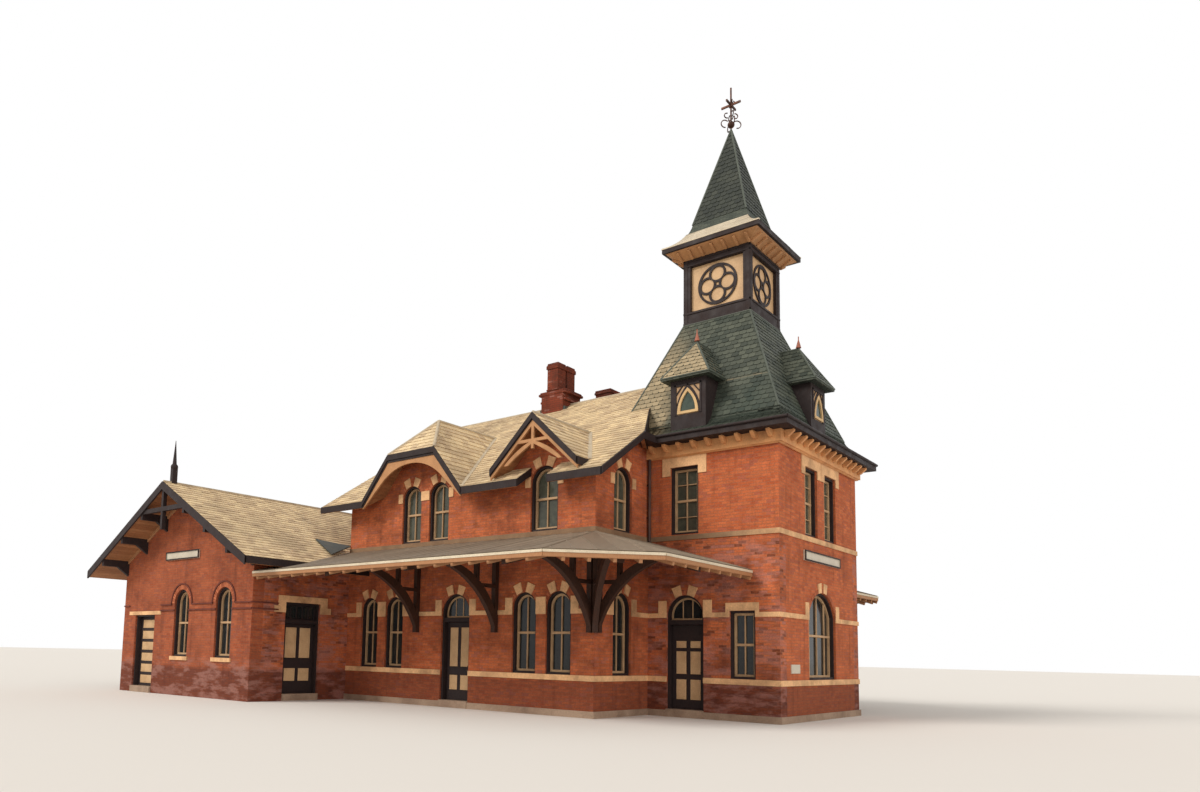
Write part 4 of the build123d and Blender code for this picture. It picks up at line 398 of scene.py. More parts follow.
# A finish in these tables has its title, the strength and depth of its relief, what is added to its
# roughness, and a value for each input of its group. A word stands for one of the colours above.
GROUP_INPUTS = {"Weathering": "Base Stain Scale Amount Grain", "Timber grain": "Base Light Amount",
                "Laid pieces": "Stain Dark Light Grain"}
FINISHES = {
    "Weathering": {
        "stone": ("Cream stone", 0.35, 0.01, 0.75, "stone", (0.28, 0.15, 0.08), 1.6, 0.75, 26.0),
        "plinth": ("Plinth stone", 0.4, 0.01, 0.8, (0.36, 0.26, 0.19), (0.16, 0.1, 0.07), 1.2, 0.8, 22.0),
        "tan paint": ("Tan paint", 0.2, 0.004, 0.55, "tan_paint", (0.2, 0.11, 0.06), 3.0, 0.5, 60.0),
        "cornice": ("Cornice paint", 0.25, 0.006, 0.6, (0.72, 0.36, 0.15), (0.34, 0.14, 0.06), 2.2, 0.7, 40.0),
        "cream paint": ("Cream paint", 0.2, 0.004, 0.5, "cream_paint", (0.34, 0.2, 0.1), 2.4, 0.55, 55.0),
        "canopy": ("Canopy metal", 0.2, 0.006, 0.5, "metal", (0.14, 0.1, 0.07), 1.1, 0.8, 30.0),
        "iron": ("Wrought iron", 0.3, 0.004, 0.5, (0.05, 0.025, 0.018), (0.14, 0.05, 0.025), 6.0, 0.8, 70.0),
        "pipe": ("Painted pipe", 0.2, 0.004, 0.5, (0.055, 0.028, 0.022), (0.13, 0.05, 0.03), 3.0, 0.7, 60.0),
        "sign": ("Sign paint", 0.15, 0.003, 0.45, (0.6, 0.55, 0.45), (0.4, 0.34, 0.26), 3.0, 0.4, 70.0),
        "lead": ("Lead flashing", 0.2, 0.004, 0.5, (0.045, 0.05, 0.045), (0.09, 0.08, 0.06), 3.0, 0.6, 40.0),
        "dark brick": ("Moulded dark brick", 0.4, 0.006, 0.85, (0.16, 0.045, 0.03), (0.06, 0.02, 0.016), 3.0,
                       0.7, 40.0),
        "flashing": ("Ridge flashing", 0.2, 0.004, 0.5, (0.5, 0.42, 0.3), (0.24, 0.18, 0.12), 3.0, 0.6, 40.0),
        "hip metal": ("Hip metal", 0.2, 0.004, 0.5, (0.085, 0.1, 0.082), (0.05, 0.06, 0.05), 3.0, 0.6, 40.0),
        "soffit tan": ("Spire soffit paint", 0.25, 0.006, 0.6, (0.5, 0.26, 0.12), (0.26, 0.12, 0.05), 2.2, 0.6,
                       40.0),
        "pale edge": ("Pale roof edge", 0.2, 0.004, 0.5, (0.68, 0.6, 0.46), (0.45, 0.36, 0.25), 2.0, 0.5, 40.0),
        "dormer frame": ("Dormer frame paint", 0.2, 0.004, 0.5, (0.66, 0.45, 0.22), (0.4, 0.25, 0.12), 4.0, 0.5,
                         55.0),
        "tip": ("Dormer tip", 0.2, 0.004, 0.5, (0.4, 0.14, 0.09), (0.2, 0.07, 0.05), 5.0, 0.6, 50.0),
    },
    "Timber grain": {
        "dark paint": ("Dark paint", 0.15, 0.004, None, "dark_paint", (0.045, 0.028, 0.024), 0.7),
        "timber": ("Bracket timber", 0.4, 0.006, None, "timber", (0.1, 0.042, 0.022), 0.6),
        "boards": ("Floor boards", 0.3, 0.006, None, (0.12, 0.07, 0.04), (0.22, 0.13, 0.07), 0.6),
        "rafter paint": ("Rafter paint", 0.3, 0.004, None, (0.36, 0.17, 0.08), (0.5, 0.28, 0.14), 0.6),
    },
    "Laid pieces": {
        "laid slate": ("Laid tan slate", 0.3, 0.006, 0.7, (0.27, 0.2, 0.13), "slate", "pale_slate", 18.0),
        "laid green slate": ("Laid green slate", 0.3, 0.006, 0.62, (0.03, 0.047, 0.037), "green_slate",
                             "pale_green_slate", 18.0),
        "spire slate": ("Laid spire slate", 0.3, 0.006, 0.62, (0.014, 0.018, 0.015), (0.022, 0.028, 0.023),
                        (0.05, 0.057, 0.045), 18.0),
        "laid metal": ("Laid roofing metal", 0.15, 0.006, 0.5, (0.12, 0.09, 0.065), (0.19, 0.15, 0.11), "metal",
                       9.0),
        "soffit boards": ("Soffit boards", 0.3, 0.006, 0.62, (0.14, 0.06, 0.025), (0.3, 0.13, 0.055),
                          (0.42, 0.2, 0.09), 26.0),
        "arch brick": ("Arch brick", 0.5, 0.006, 0.85, (0.12, 0.035, 0.025), (0.3, 0.08, 0.036),
                       (0.5, 0.16, 0.075), 34.0),
    },
}
finishes = {}


def make_finishes(colours):
    """Every material of the building, by the name that the pieces use."""
    def value_of(entry):
        if isinstance(entry, str):
            return getattr(colours, entry)
        return (*entry, 1) if isinstance(entry, tuple) else entry

    for group, rows in FINISHES.items():
        for key, (title, bump, depth, roughness, *entries) in rows.items():
            values = dict(zip(GROUP_INPUTS[group].split(), map(value_of, entries)))
            finishes[key] = finish_from(title, group, bump, depth, roughness, **values)
    finishes["iron"].node_tree.nodes["Principled BSDF"].inputs["Metallic"].default_value = 0.6
    # Painted shade: the upper stone course darkens from the tower's corner towards the main block.
    paint_course_shade(finishes["stone"], (0.1, 0.065, 0.045, 1))
    # Painted sunlight on the mansard's track side and on its dormer's hood.
    paint_sunlight(finishes["laid green slate"], (0.5, 0.4, 0.25, 1), 5.75)

    walls = dict(Brick=colours.brick, Pale_brick=colours.pale_brick, Mortar=colours.mortar, Soot=colours.soot,
                 Bloom=colours.bloom)
    gable = dict(Brick=(0.28, 0.062, 0.025, 1), Pale_brick=(0.44, 0.12, 0.05, 1), Mortar=(0.26, 0.1, 0.055, 1),
                 Bloom=(0.34, 0.17, 0.14, 1))
    for key, title, bump, values in (
            ("brick", "Brick walls", 0.5, walls),
            ("doorway brick", "Brick over the doorways", 0.5, walls),
            ("mottled brick", "Mottled brick", 0.55, dict(walls, Soiling=0.62, Soiled_below=4.65, Mottling=0.95,
                                                          Blooming=0.45, Bloom_height=4.6, Damp=0.8)),
            ("even brick", "Even brick", 0.45, dict(walls, Soiling=0.25, Mottling=0.3, Damp=0.55)),
            ("wing brick", "Wing brick", 0.45, dict(gable, Soot=colours.soot, Soiling=0.35, Mottling=0.3,
                                                    Damp=0.7, Blooming=0.6, Bloom_height=1.25)),
            ("chimney brick", "Chimney brick", 0.5, dict(
                Brick=(0.14, 0.026, 0.013, 1), Pale_brick=(0.23, 0.05, 0.024, 1), Mortar=(0.11, 0.035, 0.02, 1),
                Soot=(0.034, 0.014, 0.01, 1), Damp_height=-5.0, Soiling=0.7))):
        finishes[key] = finish_from(title, "Brickwork", bump, 0.012, **values)
    match_doorways(finishes["doorway brick"], walls, gable)
    finishes["slate"] = finish_from("Tan slate", "Slating", 0.45, 0.012, Slate=colours.slate,
                                    Pale_slate=colours.pale_slate)
    finishes["green slate"] = finish_from(
        "Green slate", "Slating", 0.5, 0.012, Slate=colours.green_slate, Pale_slate=colours.pale_green_slate,
        Gap=(0.02, 0.022, 0.02, 1), Streaks=(0.05, 0.065, 0.055, 1), Width=0.2, Course=0.15)
    for key, title, colour, clear in (("glass", "Window glass", (0.022, 0.026, 0.028), 0.35),
                                      ("upper glass", "Upper window glass", (0.075, 0.08, 0.062), 0.2),
                                      ("dormer glass", "Dormer glass", (0.05, 0.07, 0.06), 0.0)):
        finishes[key] = make_glass(title, colour, clear)


NODE_FINISH = {
    "brick": "main_track_wall_lower main_track_wall_upper main_far_wall shoulder_walls main_end_wall",
    "doorway brick": "walls_over_doors",
    "mottled brick": "tower_track_wall tower_far_wall wing_side_wall wing_far_side_wall",
    "even brick": "tower_front_wall",
    "wing brick": "wing_track_gable wing_far_gable wing_back_wall",
    "chimney brick": "chimneys",
    "boards": "ground_floor upper_floor",
    "stone": "stone_courses stone_dressings",
    "plinth": "stone_plinth door_sills",
    "dark paint": "window_frames_lower window_frames_upper door_frames far_door_frames hall_door tower_door "
                  "wing_side_door wing_gable_door far_side_doors wing_bargeboards wing_finials mansard_dormers "
                  "cupola_frame cupola_tracery tower_eave spire_eave bargeboards",
    "tan paint": "window_sashes_lower window_sashes_upper mansard_dormer_windows",
    "soffit tan": "spire_soffit gable_work",
    "glass": "window_glass_lower fanlight_glass",
    "upper glass": "window_glass_upper",
    "slate": "main_roof wall_gable_roofs dormer_roofs wing_roof",
    "green slate": "tower_mansard mansard_dormer_roofs spire",
    "canopy": "canopy_roofs",
    "timber": "canopy_brackets",
    "cornice": "tower_cornice",
    "cream paint": "cupola_panels",
    "iron": "spire_finial",
    "pipe": "downpipes",
    "sign": "signboards",
}


# Modelling helpers ----------------------------------------------------------------------------

GAP = 0.003  # round each slate and board, and under each slate
PROUD_SHARE, PROUD_LIFT = 0.16, 0.004
SMALL_SLATE = dict(course=0.15, width=0.2, lift=0.014, round_off=0.045)
BOARD_WIDE, BOARD_THICK = 0.14, 0.012
SIDES = (-1, 1)
UP = Vector((0, 0, 1))


def deselect():
    if bpy.context.mode != "OBJECT":
        bpy.ops.object.mode_set(mode="OBJECT")
    bpy.ops.object.select_all(action="DESELECT")


def activate(*pieces):
    deselect()
    for piece in pieces:
        piece.select_set(True)
    bpy.context.view_layer.objects.active = pieces[0]


@contextmanager
def editing(piece, faces=None, points=None):
    """Edit mode on a piece: the faces that a test wants, or the points given, or all of it is selected."""
    activate(piece)
    bpy.context.tool_settings.mesh_select_mode = (points is not None, False, points is None)
    if faces or points is not None:
        wanted = set(points or ())
        for point in piece.data.vertices:
            point.select = point.index in wanted
        for edge in piece.data.edges:
            edge.select = False
        for face in piece.data.polygons:
            face.select = bool(faces and faces(face))
    bpy.ops.object.mode_set(mode="EDIT")
    if not faces and points is None:
        bpy.ops.mesh.select_all(action="SELECT")
    yield
    bpy.ops.object.mode_set(mode="OBJECT")


def shift(piece, step, points=None):
    with editing(piece, points=points):
        bpy.ops.transform.translate(value=step)


def drop_faces(piece, test):
    with editing(piece, faces=test):
        bpy.ops.mesh.delete(type="FACE")


def modified(piece, kind, **settings):
    """Gives a piece a modifier with its settings, and applies it."""
    activate(piece)
    made = piece.modifiers.new(kind, kind)
    for key, value in settings.items():
        setattr(made, key, value)
    bpy.ops.object.modifier_apply(modifier=made.name)
    return piece


def bevel(piece, width, segments=1):
    return modified(piece, "BEVEL", width=width, segments=segments, limit_method="ANGLE")


def thicken(piece, depth):
    return modified(piece, "SOLIDIFY", thickness=depth, offset=-1.0)


def combined(piece, other, operation):
    modified(piece, "BOOLEAN", operation=operation, object=other, solver="EXACT")
    bpy.data.objects.remove(other)
    return piece


def shaped(ease=0.0):
    """Puts the new primitive's place in its mesh, and eases its edges."""
    piece = bpy.context.object
    bpy.ops.object.transform_apply(location=True, rotation=True, scale=True)
    return bevel(piece, ease) if ease else piece


def bar(low, high, ease=0.0):
    """A squared timber or block between two corners."""
    low, high = Vector(low), Vector(high)
    deselect()
    bpy.ops.mesh.primitive_cube_add(size=1.0, location=(low + high) / 2, scale=high - low)
    return shaped(ease)


def strut(start, end, width, depth, ease=0.006):
    """A squared bar from one point to another, its depth upright."""
    start, end = Vector(start), Vector(end)
    deselect()
    bpy.ops.mesh.primitive_cube_add(size=1.0, location=(start + end) / 2,
                                    rotation=(end - start).to_track_quat("X", "Z").to_euler(),
                                    scale=((end - start).length, width, depth))
    return shaped(ease)


def rod(start, end, radius, sides=10):
    """A round bar from one point to another."""
    start, end = Vector(start), Vector(end)
    deselect()
    bpy.ops.mesh.primitive_cylinder_add(vertices=sides, radius=radius, depth=(end - start).length,
                                        location=(start + end) / 2,
                                        rotation=(end - start).to_track_quat("Z", "Y").to_euler())
    piece = shaped()
    bpy.ops.object.shade_smooth_by_angle(angle=radians(40))
    return piece


def arch_bar(radius, width, near, far, start, sweep, steps):
    """A squared bar bent round the origin in the wall's plane, between two depths."""
    deselect()
    bpy.ops.mesh.primitive_plane_add(size=1.0)
    piece = bpy.context.object
    with editing(piece):
        bpy.ops.transform.resize(value=(width, far - near, 1))
        bpy.ops.transform.translate(value=(radius + width / 2, (near + far) / 2, 0))
        bpy.ops.transform.rotate(value=start, orient_axis="Y", center_override=(0, 0, 0))
        bpy.ops.mesh.select_all(action="SELECT")
        bpy.ops.mesh.spin(steps=steps, angle=sweep, center=(0, 0, 0), axis=(0, -1, 0))
        bpy.ops.mesh.select_all(action="SELECT")
        bpy.ops.mesh.remove_doubles(threshold=0.0005)
        bpy.ops.mesh.normals_make_consistent(inside=False)
    return piece


def pointed(half, rise, base, near, far):
    """A flat pointed arch in a wall's own frame, its foot level at the base."""
    reach = (rise * rise - half * half) / (2 * half)
    discs = []
    for side in SIDES:
        deselect()
        bpy.ops.mesh.primitive_cylinder_add(vertices=96, radius=half + reach, depth=far - near,
                                            location=(side * reach, (near + far) / 2, base),
                                            rotation=(pi / 2, 0, 0))
        discs.append(shaped())
    piece = combined(*discs, "INTERSECT")
    with editing(piece):
        bpy.ops.mesh.bisect(plane_co=(0, 0, base), plane_no=UP, clear_inner=True, use_fill=True)
    return piece


def sheet_of(points, depth):
    """A thin flat sheet with its corners at the points given."""
    deselect()
    bpy.ops.mesh.primitive_circle_add(vertices=len(points), radius=1.0, fill_type="NGON")
    piece = bpy.context.object
    for index, place in enumerate(points):
        shift(piece, Vector(place) - piece.data.vertices[index].co, [index])
    with editing(piece):
        bpy.ops.mesh.subdivide(number_cuts=2)
    if piece.data.polygons[0].normal.z < 0:
        piece.data.flip_normals()
    with editing(thicken(piece, depth)):
        bpy.ops.mesh.normals_make_consistent(inside=False)
    return piece


def twin(piece):
    """A copy with its own mesh."""
    other = piece.copy()
    other.data = piece.data.copy()
    bpy.context.scene.collection.objects.link(other)
    return other


def moved(piece, matrix):
    piece.data.transform(matrix)
    if matrix.determinant() < 0:
        piece.data.flip_normals()
    return piece


def joined(pieces, name="part"):
    activate(*pieces)
    if len(pieces) > 1:
        bpy.ops.object.join()
    whole = bpy.context.object
    whole.name = whole.data.name = name
    return whole


def copied(piece, places):
    """One piece of copies, set at the places given as matrices."""
    made = [moved(twin(piece), place) for place in places]
    bpy.data.objects.remove(piece)
    return joined(made)


def fit(name, pieces, finish, body=HOME):
    """Joins pieces to one with its name, its finish and its slot, and lets it ride on its body."""
    whole = joined(pieces, name)
    whole.data.materials.clear()
    whole.data.materials.append(finishes[finish])
    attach(whole, body)
    deselect()
    return whole


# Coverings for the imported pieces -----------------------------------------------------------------

def flat_faces(node):
    """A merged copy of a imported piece, with each of its flat faces whole."""
    piece = bpy.data.objects.new("flat", nodes[node].data.copy())
    bpy.context.scene.collection.objects.link(piece)
    with editing(piece):
        bpy.ops.mesh.remove_doubles(threshold=0.0004)
        bpy.ops.mesh.dissolve_limited(angle_limit=radians(0.6))
    return piece


def flat_parts(sources, test):
    """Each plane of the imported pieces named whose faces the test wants: its number, its part, its facing."""
    for source in sources.split():
        whole = flat_faces(source)
        planes = []
        for face in whole.data.polygons:
            if face.area < 0.02 or not test(face):
                continue
            distance = face.normal.dot(face.center)
            if not any((normal - face.normal).length < 0.01 and abs(other - distance) < 0.01
                       for normal, other in planes):
                planes.append((face.normal.copy(), distance))
        for count, (normal, distance) in enumerate(planes):
            part = twin(whole)
            drop_faces(part, lambda face: (face.normal - normal).length > 0.01
                       or abs(face.normal.dot(face.center) - distance) > 0.01)
            yield count, part, normal
        bpy.data.objects.remove(whole)


def cut_across(piece, direction, places):
    """Cuts all the faces of a piece by planes across a direction, at the distances given."""
    with editing(piece):
        for place in places:
            bpy.ops.mesh.select_all(action="SELECT")
            bpy.ops.mesh.bisect(plane_co=direction * place, plane_no=direction)


def marks(piece, direction, step, start=0.0):
    """The places of evenly spaced cuts between the piece's lowest and highest points."""
    along = [point.co.dot(direction) for point in piece.data.vertices]
    first = int((min(along) - start) / step) - 1
    last = int((max(along) - start) / step) + 2
    return [start + step * count for count in range(first, last)
            if min(along) + 0.01 < start + step * count < max(along) - 0.01]


def slope_axes(normal):
    """The level direction and the uphill direction of a sloping face."""
    level = UP.cross(normal)
    if level.length < 0.05:
        level = Vector((1, 0, 0))
    level.normalize()
    return level, normal.cross(level).normalized()


def loosen(piece):
    """Parts every face from its neighbours and leaves a gap round it."""
    with editing(piece):
        bpy.ops.mesh.edge_split(type="EDGE")
        bpy.ops.mesh.select_all(action="SELECT")
        bpy.ops.mesh.inset(thickness=GAP, depth=0.0, use_individual=True)
        bpy.ops.mesh.select_all(action="INVERT")
        bpy.ops.mesh.delete(type="FACE")


def shade_each(piece, seed, faces=1):
    """Gives each face, or each block of so many faces, its own tone, which the materials read by name."""
    shades = Random(seed)
    tones = piece.data.attributes.new("tone", "FLOAT", "FACE").data
    drawn = [shades.random() for _ in tones]
    for index, item in enumerate(tones):
        item.value = drawn[index - index % faces]


def lower_points(piece, uphill, tall):
    """The points in the lower half of every face, and those of the whole squares that are tall enough."""
    lower, corners = [], []
    for face in piece.data.polygons:
        reach = [piece.data.vertices[index].co.dot(uphill) for index in face.vertices]
        middle = (min(reach) + max(reach)) / 2
        low = [index for index, place in zip(face.vertices, reach) if place < middle]
        lower += low
        if len(face.vertices) == 4 and len(low) == 2 and max(reach) - min(reach) > tall:
            corners += low
    return lower, corners


def tiled_plane(part, normal, course, width, lift, round_off, seed):
    """Cuts one slope into lapped slates, each raised at its lower edge, some of them a little proud."""
    level, uphill = slope_axes(normal)
    cut_across(part, uphill, marks(part, uphill, course))
    rows = []
    for odd in (0, 1):
        row = twin(part)
        drop_faces(row, lambda face: int(face.center.dot(uphill) // course) % 2 != odd)
        if row.data.polygons:
            cut_across(row, level, marks(row, level, width, odd * width / 2))
            rows.append(row)
        else:
            bpy.data.objects.remove(row)
    bpy.data.objects.remove(part)
    laid = joined(rows)
    loosen(laid)
    lower, corners = lower_points(laid, uphill, 0.6 * course)
    if round_off and corners:
        with editing(laid, points=corners):
            bpy.ops.mesh.bevel(offset=round_off, affect="VERTICES", segments=2)
        lower, _ = lower_points(laid, uphill, course)
    shift(laid, normal * lift, lower)
    shift(laid, normal * GAP)
    shades = Random(seed)
    proud = [index for face in laid.data.polygons if shades.random() < PROUD_SHARE for index in face.vertices]
    if proud:
        shift(laid, normal * PROUD_LIFT, proud)
    shade_each(laid, seed)
    return thicken(laid, lift * 0.8)


def slate_over(sources, least, course=0.2, width=0.26, lift=0.016, round_off=0.0):
    """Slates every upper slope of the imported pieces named."""
    return [tiled_plane(part, normal, course, width, lift, round_off, 7 * count + 3)
            for count, part, normal in flat_parts(sources, lambda face: least < face.normal.z < 0.995
                                                  and face.area > 0.08)]


def board_under(sources):
    """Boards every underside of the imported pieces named."""
    laid = []
    for count, part, normal in flat_parts(sources, lambda face: face.normal.z < -0.25 and face.area > 0.08):
        uphill = slope_axes(normal)[1]
        cut_across(part, uphill, marks(part, uphill, BOARD_WIDE))
        loosen(part)
        shift(part, normal * BOARD_THICK)
        shade_each(part, count + 11)
        laid.append(thicken(part, BOARD_THICK))
    return laid


def rafters_under(sources, step, width, depth):
    """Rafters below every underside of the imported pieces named, square to its edge."""
    laid = []
    for _, part, normal in flat_parts(sources, lambda face: face.normal.z < -0.5 and face.area > 0.3):
        level = slope_axes(normal)[0]
        places = marks(part, level, step, 0.11)
        cut_across(part, level, sorted(place + side * width / 2 for place in places for side in SIDES))
        drop_faces(part, lambda face: all(abs(face.center.dot(level) - place) > width / 2 for place in places))
        laid.append(thicken(part, -depth))
    return laid


def seamed_sheets(sources, width, rise):
    """Metal sheets with a raised seam round each one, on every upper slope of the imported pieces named."""
    laid = []
    for count, part, normal in flat_parts(sources, lambda face: face.normal.z > 0.5 and face.area > 0.3):
        level = slope_axes(normal)[0]
        cut_across(part, level, marks(part, level, width))
        with editing(part):
            bpy.ops.transform.translate(value=normal * rise)
            bpy.ops.mesh.inset(thickness=0.02, depth=-0.7 * rise, use_individual=True)
        shade_each(part, count + 5)
        laid.append(thicken(part, 0.25 * rise))
    return laid


def edge_boards(sources, lift, low=None, high=None):
    """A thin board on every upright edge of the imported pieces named, or on a band of it between two heights."""
    laid = []
    for _, part, normal in flat_parts(sources, lambda face: abs(face.normal.z) < 0.6 and face.area > 0.03):
        if low is not None:
            cut_across(part, UP, (low, high))
            drop_faces(part, lambda face: not low < face.center.z < high)
        if part.data.polygons:
            shift(part, normal * lift)
            laid.append(thicken(part, lift))
        else:
            bpy.data.objects.remove(part)
    return laid


def rolls_along(sources, radius, counts, wanted):
    """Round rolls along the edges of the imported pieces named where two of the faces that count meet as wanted."""
    rolls = []
    for source in sources.split():
        whole = flat_faces(source)
        meetings = {}
        for face in filter(counts, whole.data.polygons):
            for key in face.edge_keys:
                meetings.setdefault(key, []).append(face)
        for key, faces in meetings.items():
            start, end = (whole.data.vertices[index].co.copy() for index in key)
            if len(faces) == 2 and wanted(start, end, *faces):
                rolls.append(rod(start, end, radius))
        bpy.data.objects.remove(whole)
    return rolls


def ridge_rolls(sources, radius, least):
    """A metal roll along every ridge and hip."""
    return rolls_along(sources, radius, lambda face: face.normal.z > least,
                       lambda start, end, one, other: (end - start).length >= 0.35
                       and (one.normal - other.normal).length >= 0.15
                       and one.normal.dot(other.center - one.center) <= -0.001)


def eave_rolls(sources, radius):
    """Round edging where the slopes meet their upright edges."""
    return rolls_along(sources, radius, lambda face: True, lambda start, end, one, other:
                       max(one.normal.z, other.normal.z) > 0.25 and abs(min(one.normal.z, other.normal.z)) < 0.1)


# The openings, read from their frames -----------------------------------------------------------

REVEAL = 0.06  # from a wall's face to its window frames
SMALL_WINDOW = 0.88
WING_SILL = 1.22
WING_WINDOWS = (-8.61, -6.19)
WING_FACE, WING_SIDE = 8.9, -4.715
ARCH_BRICK = 0.074  # from one brick of an arch to the next
RISES = {0.76: 0.38, 0.8: 0.4, 0.86: 0.42, 0.9: 0.45, 1.96: 0.64}


def boxes_in(node):
    """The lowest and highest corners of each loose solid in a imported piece."""
    with editing(flat_faces(node)):
        bpy.ops.mesh.separate(type="LOOSE")
    found = []
    for part in list(bpy.context.selected_objects):
        points = [point.co for point in part.data.vertices]
        found.append([Vector([end(place[axis] for place in points) for axis in range(3)]) for end in (min, max)])
        bpy.data.objects.remove(part)
    return found


def wall_place(middle, outward, face):
    """Moves a shape from its own frame, x along the wall, y into it, to its place on a wall."""
    turns = {(0, -1): 0, (1, 0): 90, (0, 1): 180, (-1, 0): -90}
    x, y = (face, middle) if outward[0] else (middle, face)
    return Matrix.Translation((x, y, 0)) @ Matrix.Rotation(radians(turns[outward]), 4, "Z")


def window_kinds():
    """Windows of like size: (width, sill, top, rise) with the places of each."""
    kinds = {}
    for node in ("window_frames_lower", "window_frames_upper"):
        for low, high in boxes_in(node):
            size, middle = high - low, (low + high) / 2
            if size.x < size.y:
                along, out, side = 1, 0, -1 if middle.x < -10 else 1
            else:
                along, out, side = 0, 1, 1 if middle.y > 0 else -1
            face = (high if side > 0 else low)[out] + side * REVEAL
            place = wall_place(middle[along], (0, side) if out else (side, 0), face)
            width = round(size[along], 2)
            rise = RISES.get(width, 0.44 if width == SMALL_WINDOW and middle.x < -5 else 0.0)
            kinds.setdefault((width, round(low.z, 2), round(high.z, 2), rise), []).append(place)
    return kinds


# Each doorway's width, top, rise of its arch, top of its leaf, middle along the wall, wall face and facing.
DOORWAYS = {
    "hall_door": (1.08, 3.19, 0.54, 2.4, 0.0, -5.37, (0, -1)),
    "tower_door": (1.06, 3.17, 0.53, 2.4, 5.82, -2.815, (0, -1)),
    "wing_side_door": (1.27, 2.92, 0.0, 2.29, -7.11, WING_SIDE, (1, 0)),
    "wing_gable_door": (1.3, 2.55, 0.0, 2.49, -10.93, -WING_FACE, (0, -1)),
}
# The number of panels side by side, and the foot and head of each row.
DOOR_PANELS = {
    "hall_door": (2, ((0.49, 0.91), (1.14, 2.25))),
    "tower_door": (2, ((0.45, 0.98), (1.11, 1.71), (1.79, 1.98))),
    "wing_side_door": (2, ((0.57, 0.96), (1.26, 2.18))),
    "wing_gable_door": (1, [(0.29 + row * 0.3667, 0.2 + (row + 1) * 0.3667) for row in range(6)]),
}


def doorway_places(name):
    """The doorway's place on the track side and its copy on the far side."""
    middle, face, outward = DOORWAYS[name][4:]
    far = wall_place(-middle, outward, face) if outward[0] else wall_place(middle, (0, 1), -face)
    return wall_place(middle, outward, face), far


class STATION_OT_finishes(bpy.types.Operator):
    """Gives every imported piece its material"""
    bl_idname = "station.finishes"
    bl_label = "Finishes"

    def execute(self, context):
        make_finishes(context.scene.station_colours)
        for finish, names in NODE_FINISH.items():
            for name in names.split():
                for holder in nodes[name].material_slots:
                    holder.material = finishes[finish]
        return {"FINISHED"}


# Roofs -----------------------------------------------------------------------------------------

MAIN_ROOFS = "main_roof wall_gable_roofs dormer_roofs"
ALL_ROOFS = MAIN_ROOFS + " wing_roof"
# The foot and the head of each valley on the far side, and the corners of the sheet beside the wing.
VALLEYS = [((1.71, 5.43, 6.45), (3.13, 3.348, 7.8)), ((4.55, 5.43, 6.45), (3.13, 3.348, 7.8)),
           ((-3.5, 5.97, 6.1), (-1.43, 2.191, 8.55)), ((0.64, 5.97, 6.1), (-1.43, 2.191, 8.55))]
SADDLE = [(-5.5, 6.17, 5.06), (-4.7, 5.38, 4.86), (-4.33, 6.42, 4.47)]


class STATION_OT_slates(bpy.types.Operator):
    """Lays lapped slates on the main block's and the wing's roofs"""
    bl_idname = "station.slates"
    bl_label = "Main slates"

    def execute(self, context):
        fit("main_slates", slate_over(MAIN_ROOFS, 0.6), "laid slate")
        fit("wing_slates", slate_over("wing_roof", 0.6), "laid slate")
        fit("eave_fascias", edge_boards(ALL_ROOFS, 0.02), "dark paint")
        valleys = [strut(*(Vector((x, side * y, z + 0.035)) for x, y, z in ends), 0.13, 0.02)
                   for side in SIDES for ends in VALLEYS]
        fit("valley_flashings", valleys, "flashing")
        saddles = [sheet_of([(x, side * y, z) for x, y, z in SADDLE], 0.03) for side in SIDES]
        fit("roof_saddles", saddles, "lead")
        fit("ridge_rolls", ridge_rolls(ALL_ROOFS, 0.05, 0.2), "flashing")
        return {"FINISHED"}


class STATION_OT_tower_slates(bpy.types.Operator):
    """Lays round-ended slates on the mansard, its dormers and the spire"""
    bl_idname = "station.tower_slates"
    bl_label = "Tower slates"

    def execute(self, context):
        mansard = "tower_mansard mansard_dormer_roofs"
        fit("mansard_slates", slate_over(mansard, 0.12, **SMALL_SLATE), "laid green slate")
        fit("spire_slates", slate_over("spire", 0.12, **SMALL_SLATE), "spire slate")
        rolls = ridge_rolls(mansard + " spire", 0.03, 0.12) + eave_rolls("mansard_dormer_roofs", 0.025)
        fit("hip_rolls", rolls, "hip metal")
        # A pale metal apron round the spire's foot, laid only on the track and far sides as painted sunlight; the
        # front and back flares keep their dark slates.
        sunlit_aprons = []
        for _, part, normal in flat_parts("spire", lambda face: face.normal.z > 0.4 and face.center.z < 14.05
                                          and abs(face.normal.y) > abs(face.normal.x)):
            shift(part, normal * 0.034)
            sunlit_aprons.append(thicken(part, 0.03))
        fit("spire_apron", sunlit_aprons, "pale edge")
        return {"FINISHED"}


class STATION_OT_soffits(bpy.types.Operator):
    """Boards the undersides of the roofs and hangs rafters under the canopies"""
    bl_idname = "station.soffits"
    bl_label = "Soffits and rafters"

    def execute(self, context):
        fit("roof_soffits", board_under(ALL_ROOFS), "soffit boards")
        fit("canopy_boards", board_under("canopy_roofs"), "soffit boards")
        fit("canopy_rafters", rafters_under("canopy_roofs", 0.55, 0.075, 0.09), "rafter paint")
        friezes = [strut((end, side * 8.925, 4.33), (-8.55, side * 8.925, 6.41), 0.05, 0.1)
                   for side in SIDES for end in (-12.36, -4.74)]
        fit("wing_friezes", friezes, "rafter paint")
        return {"FINISHED"}


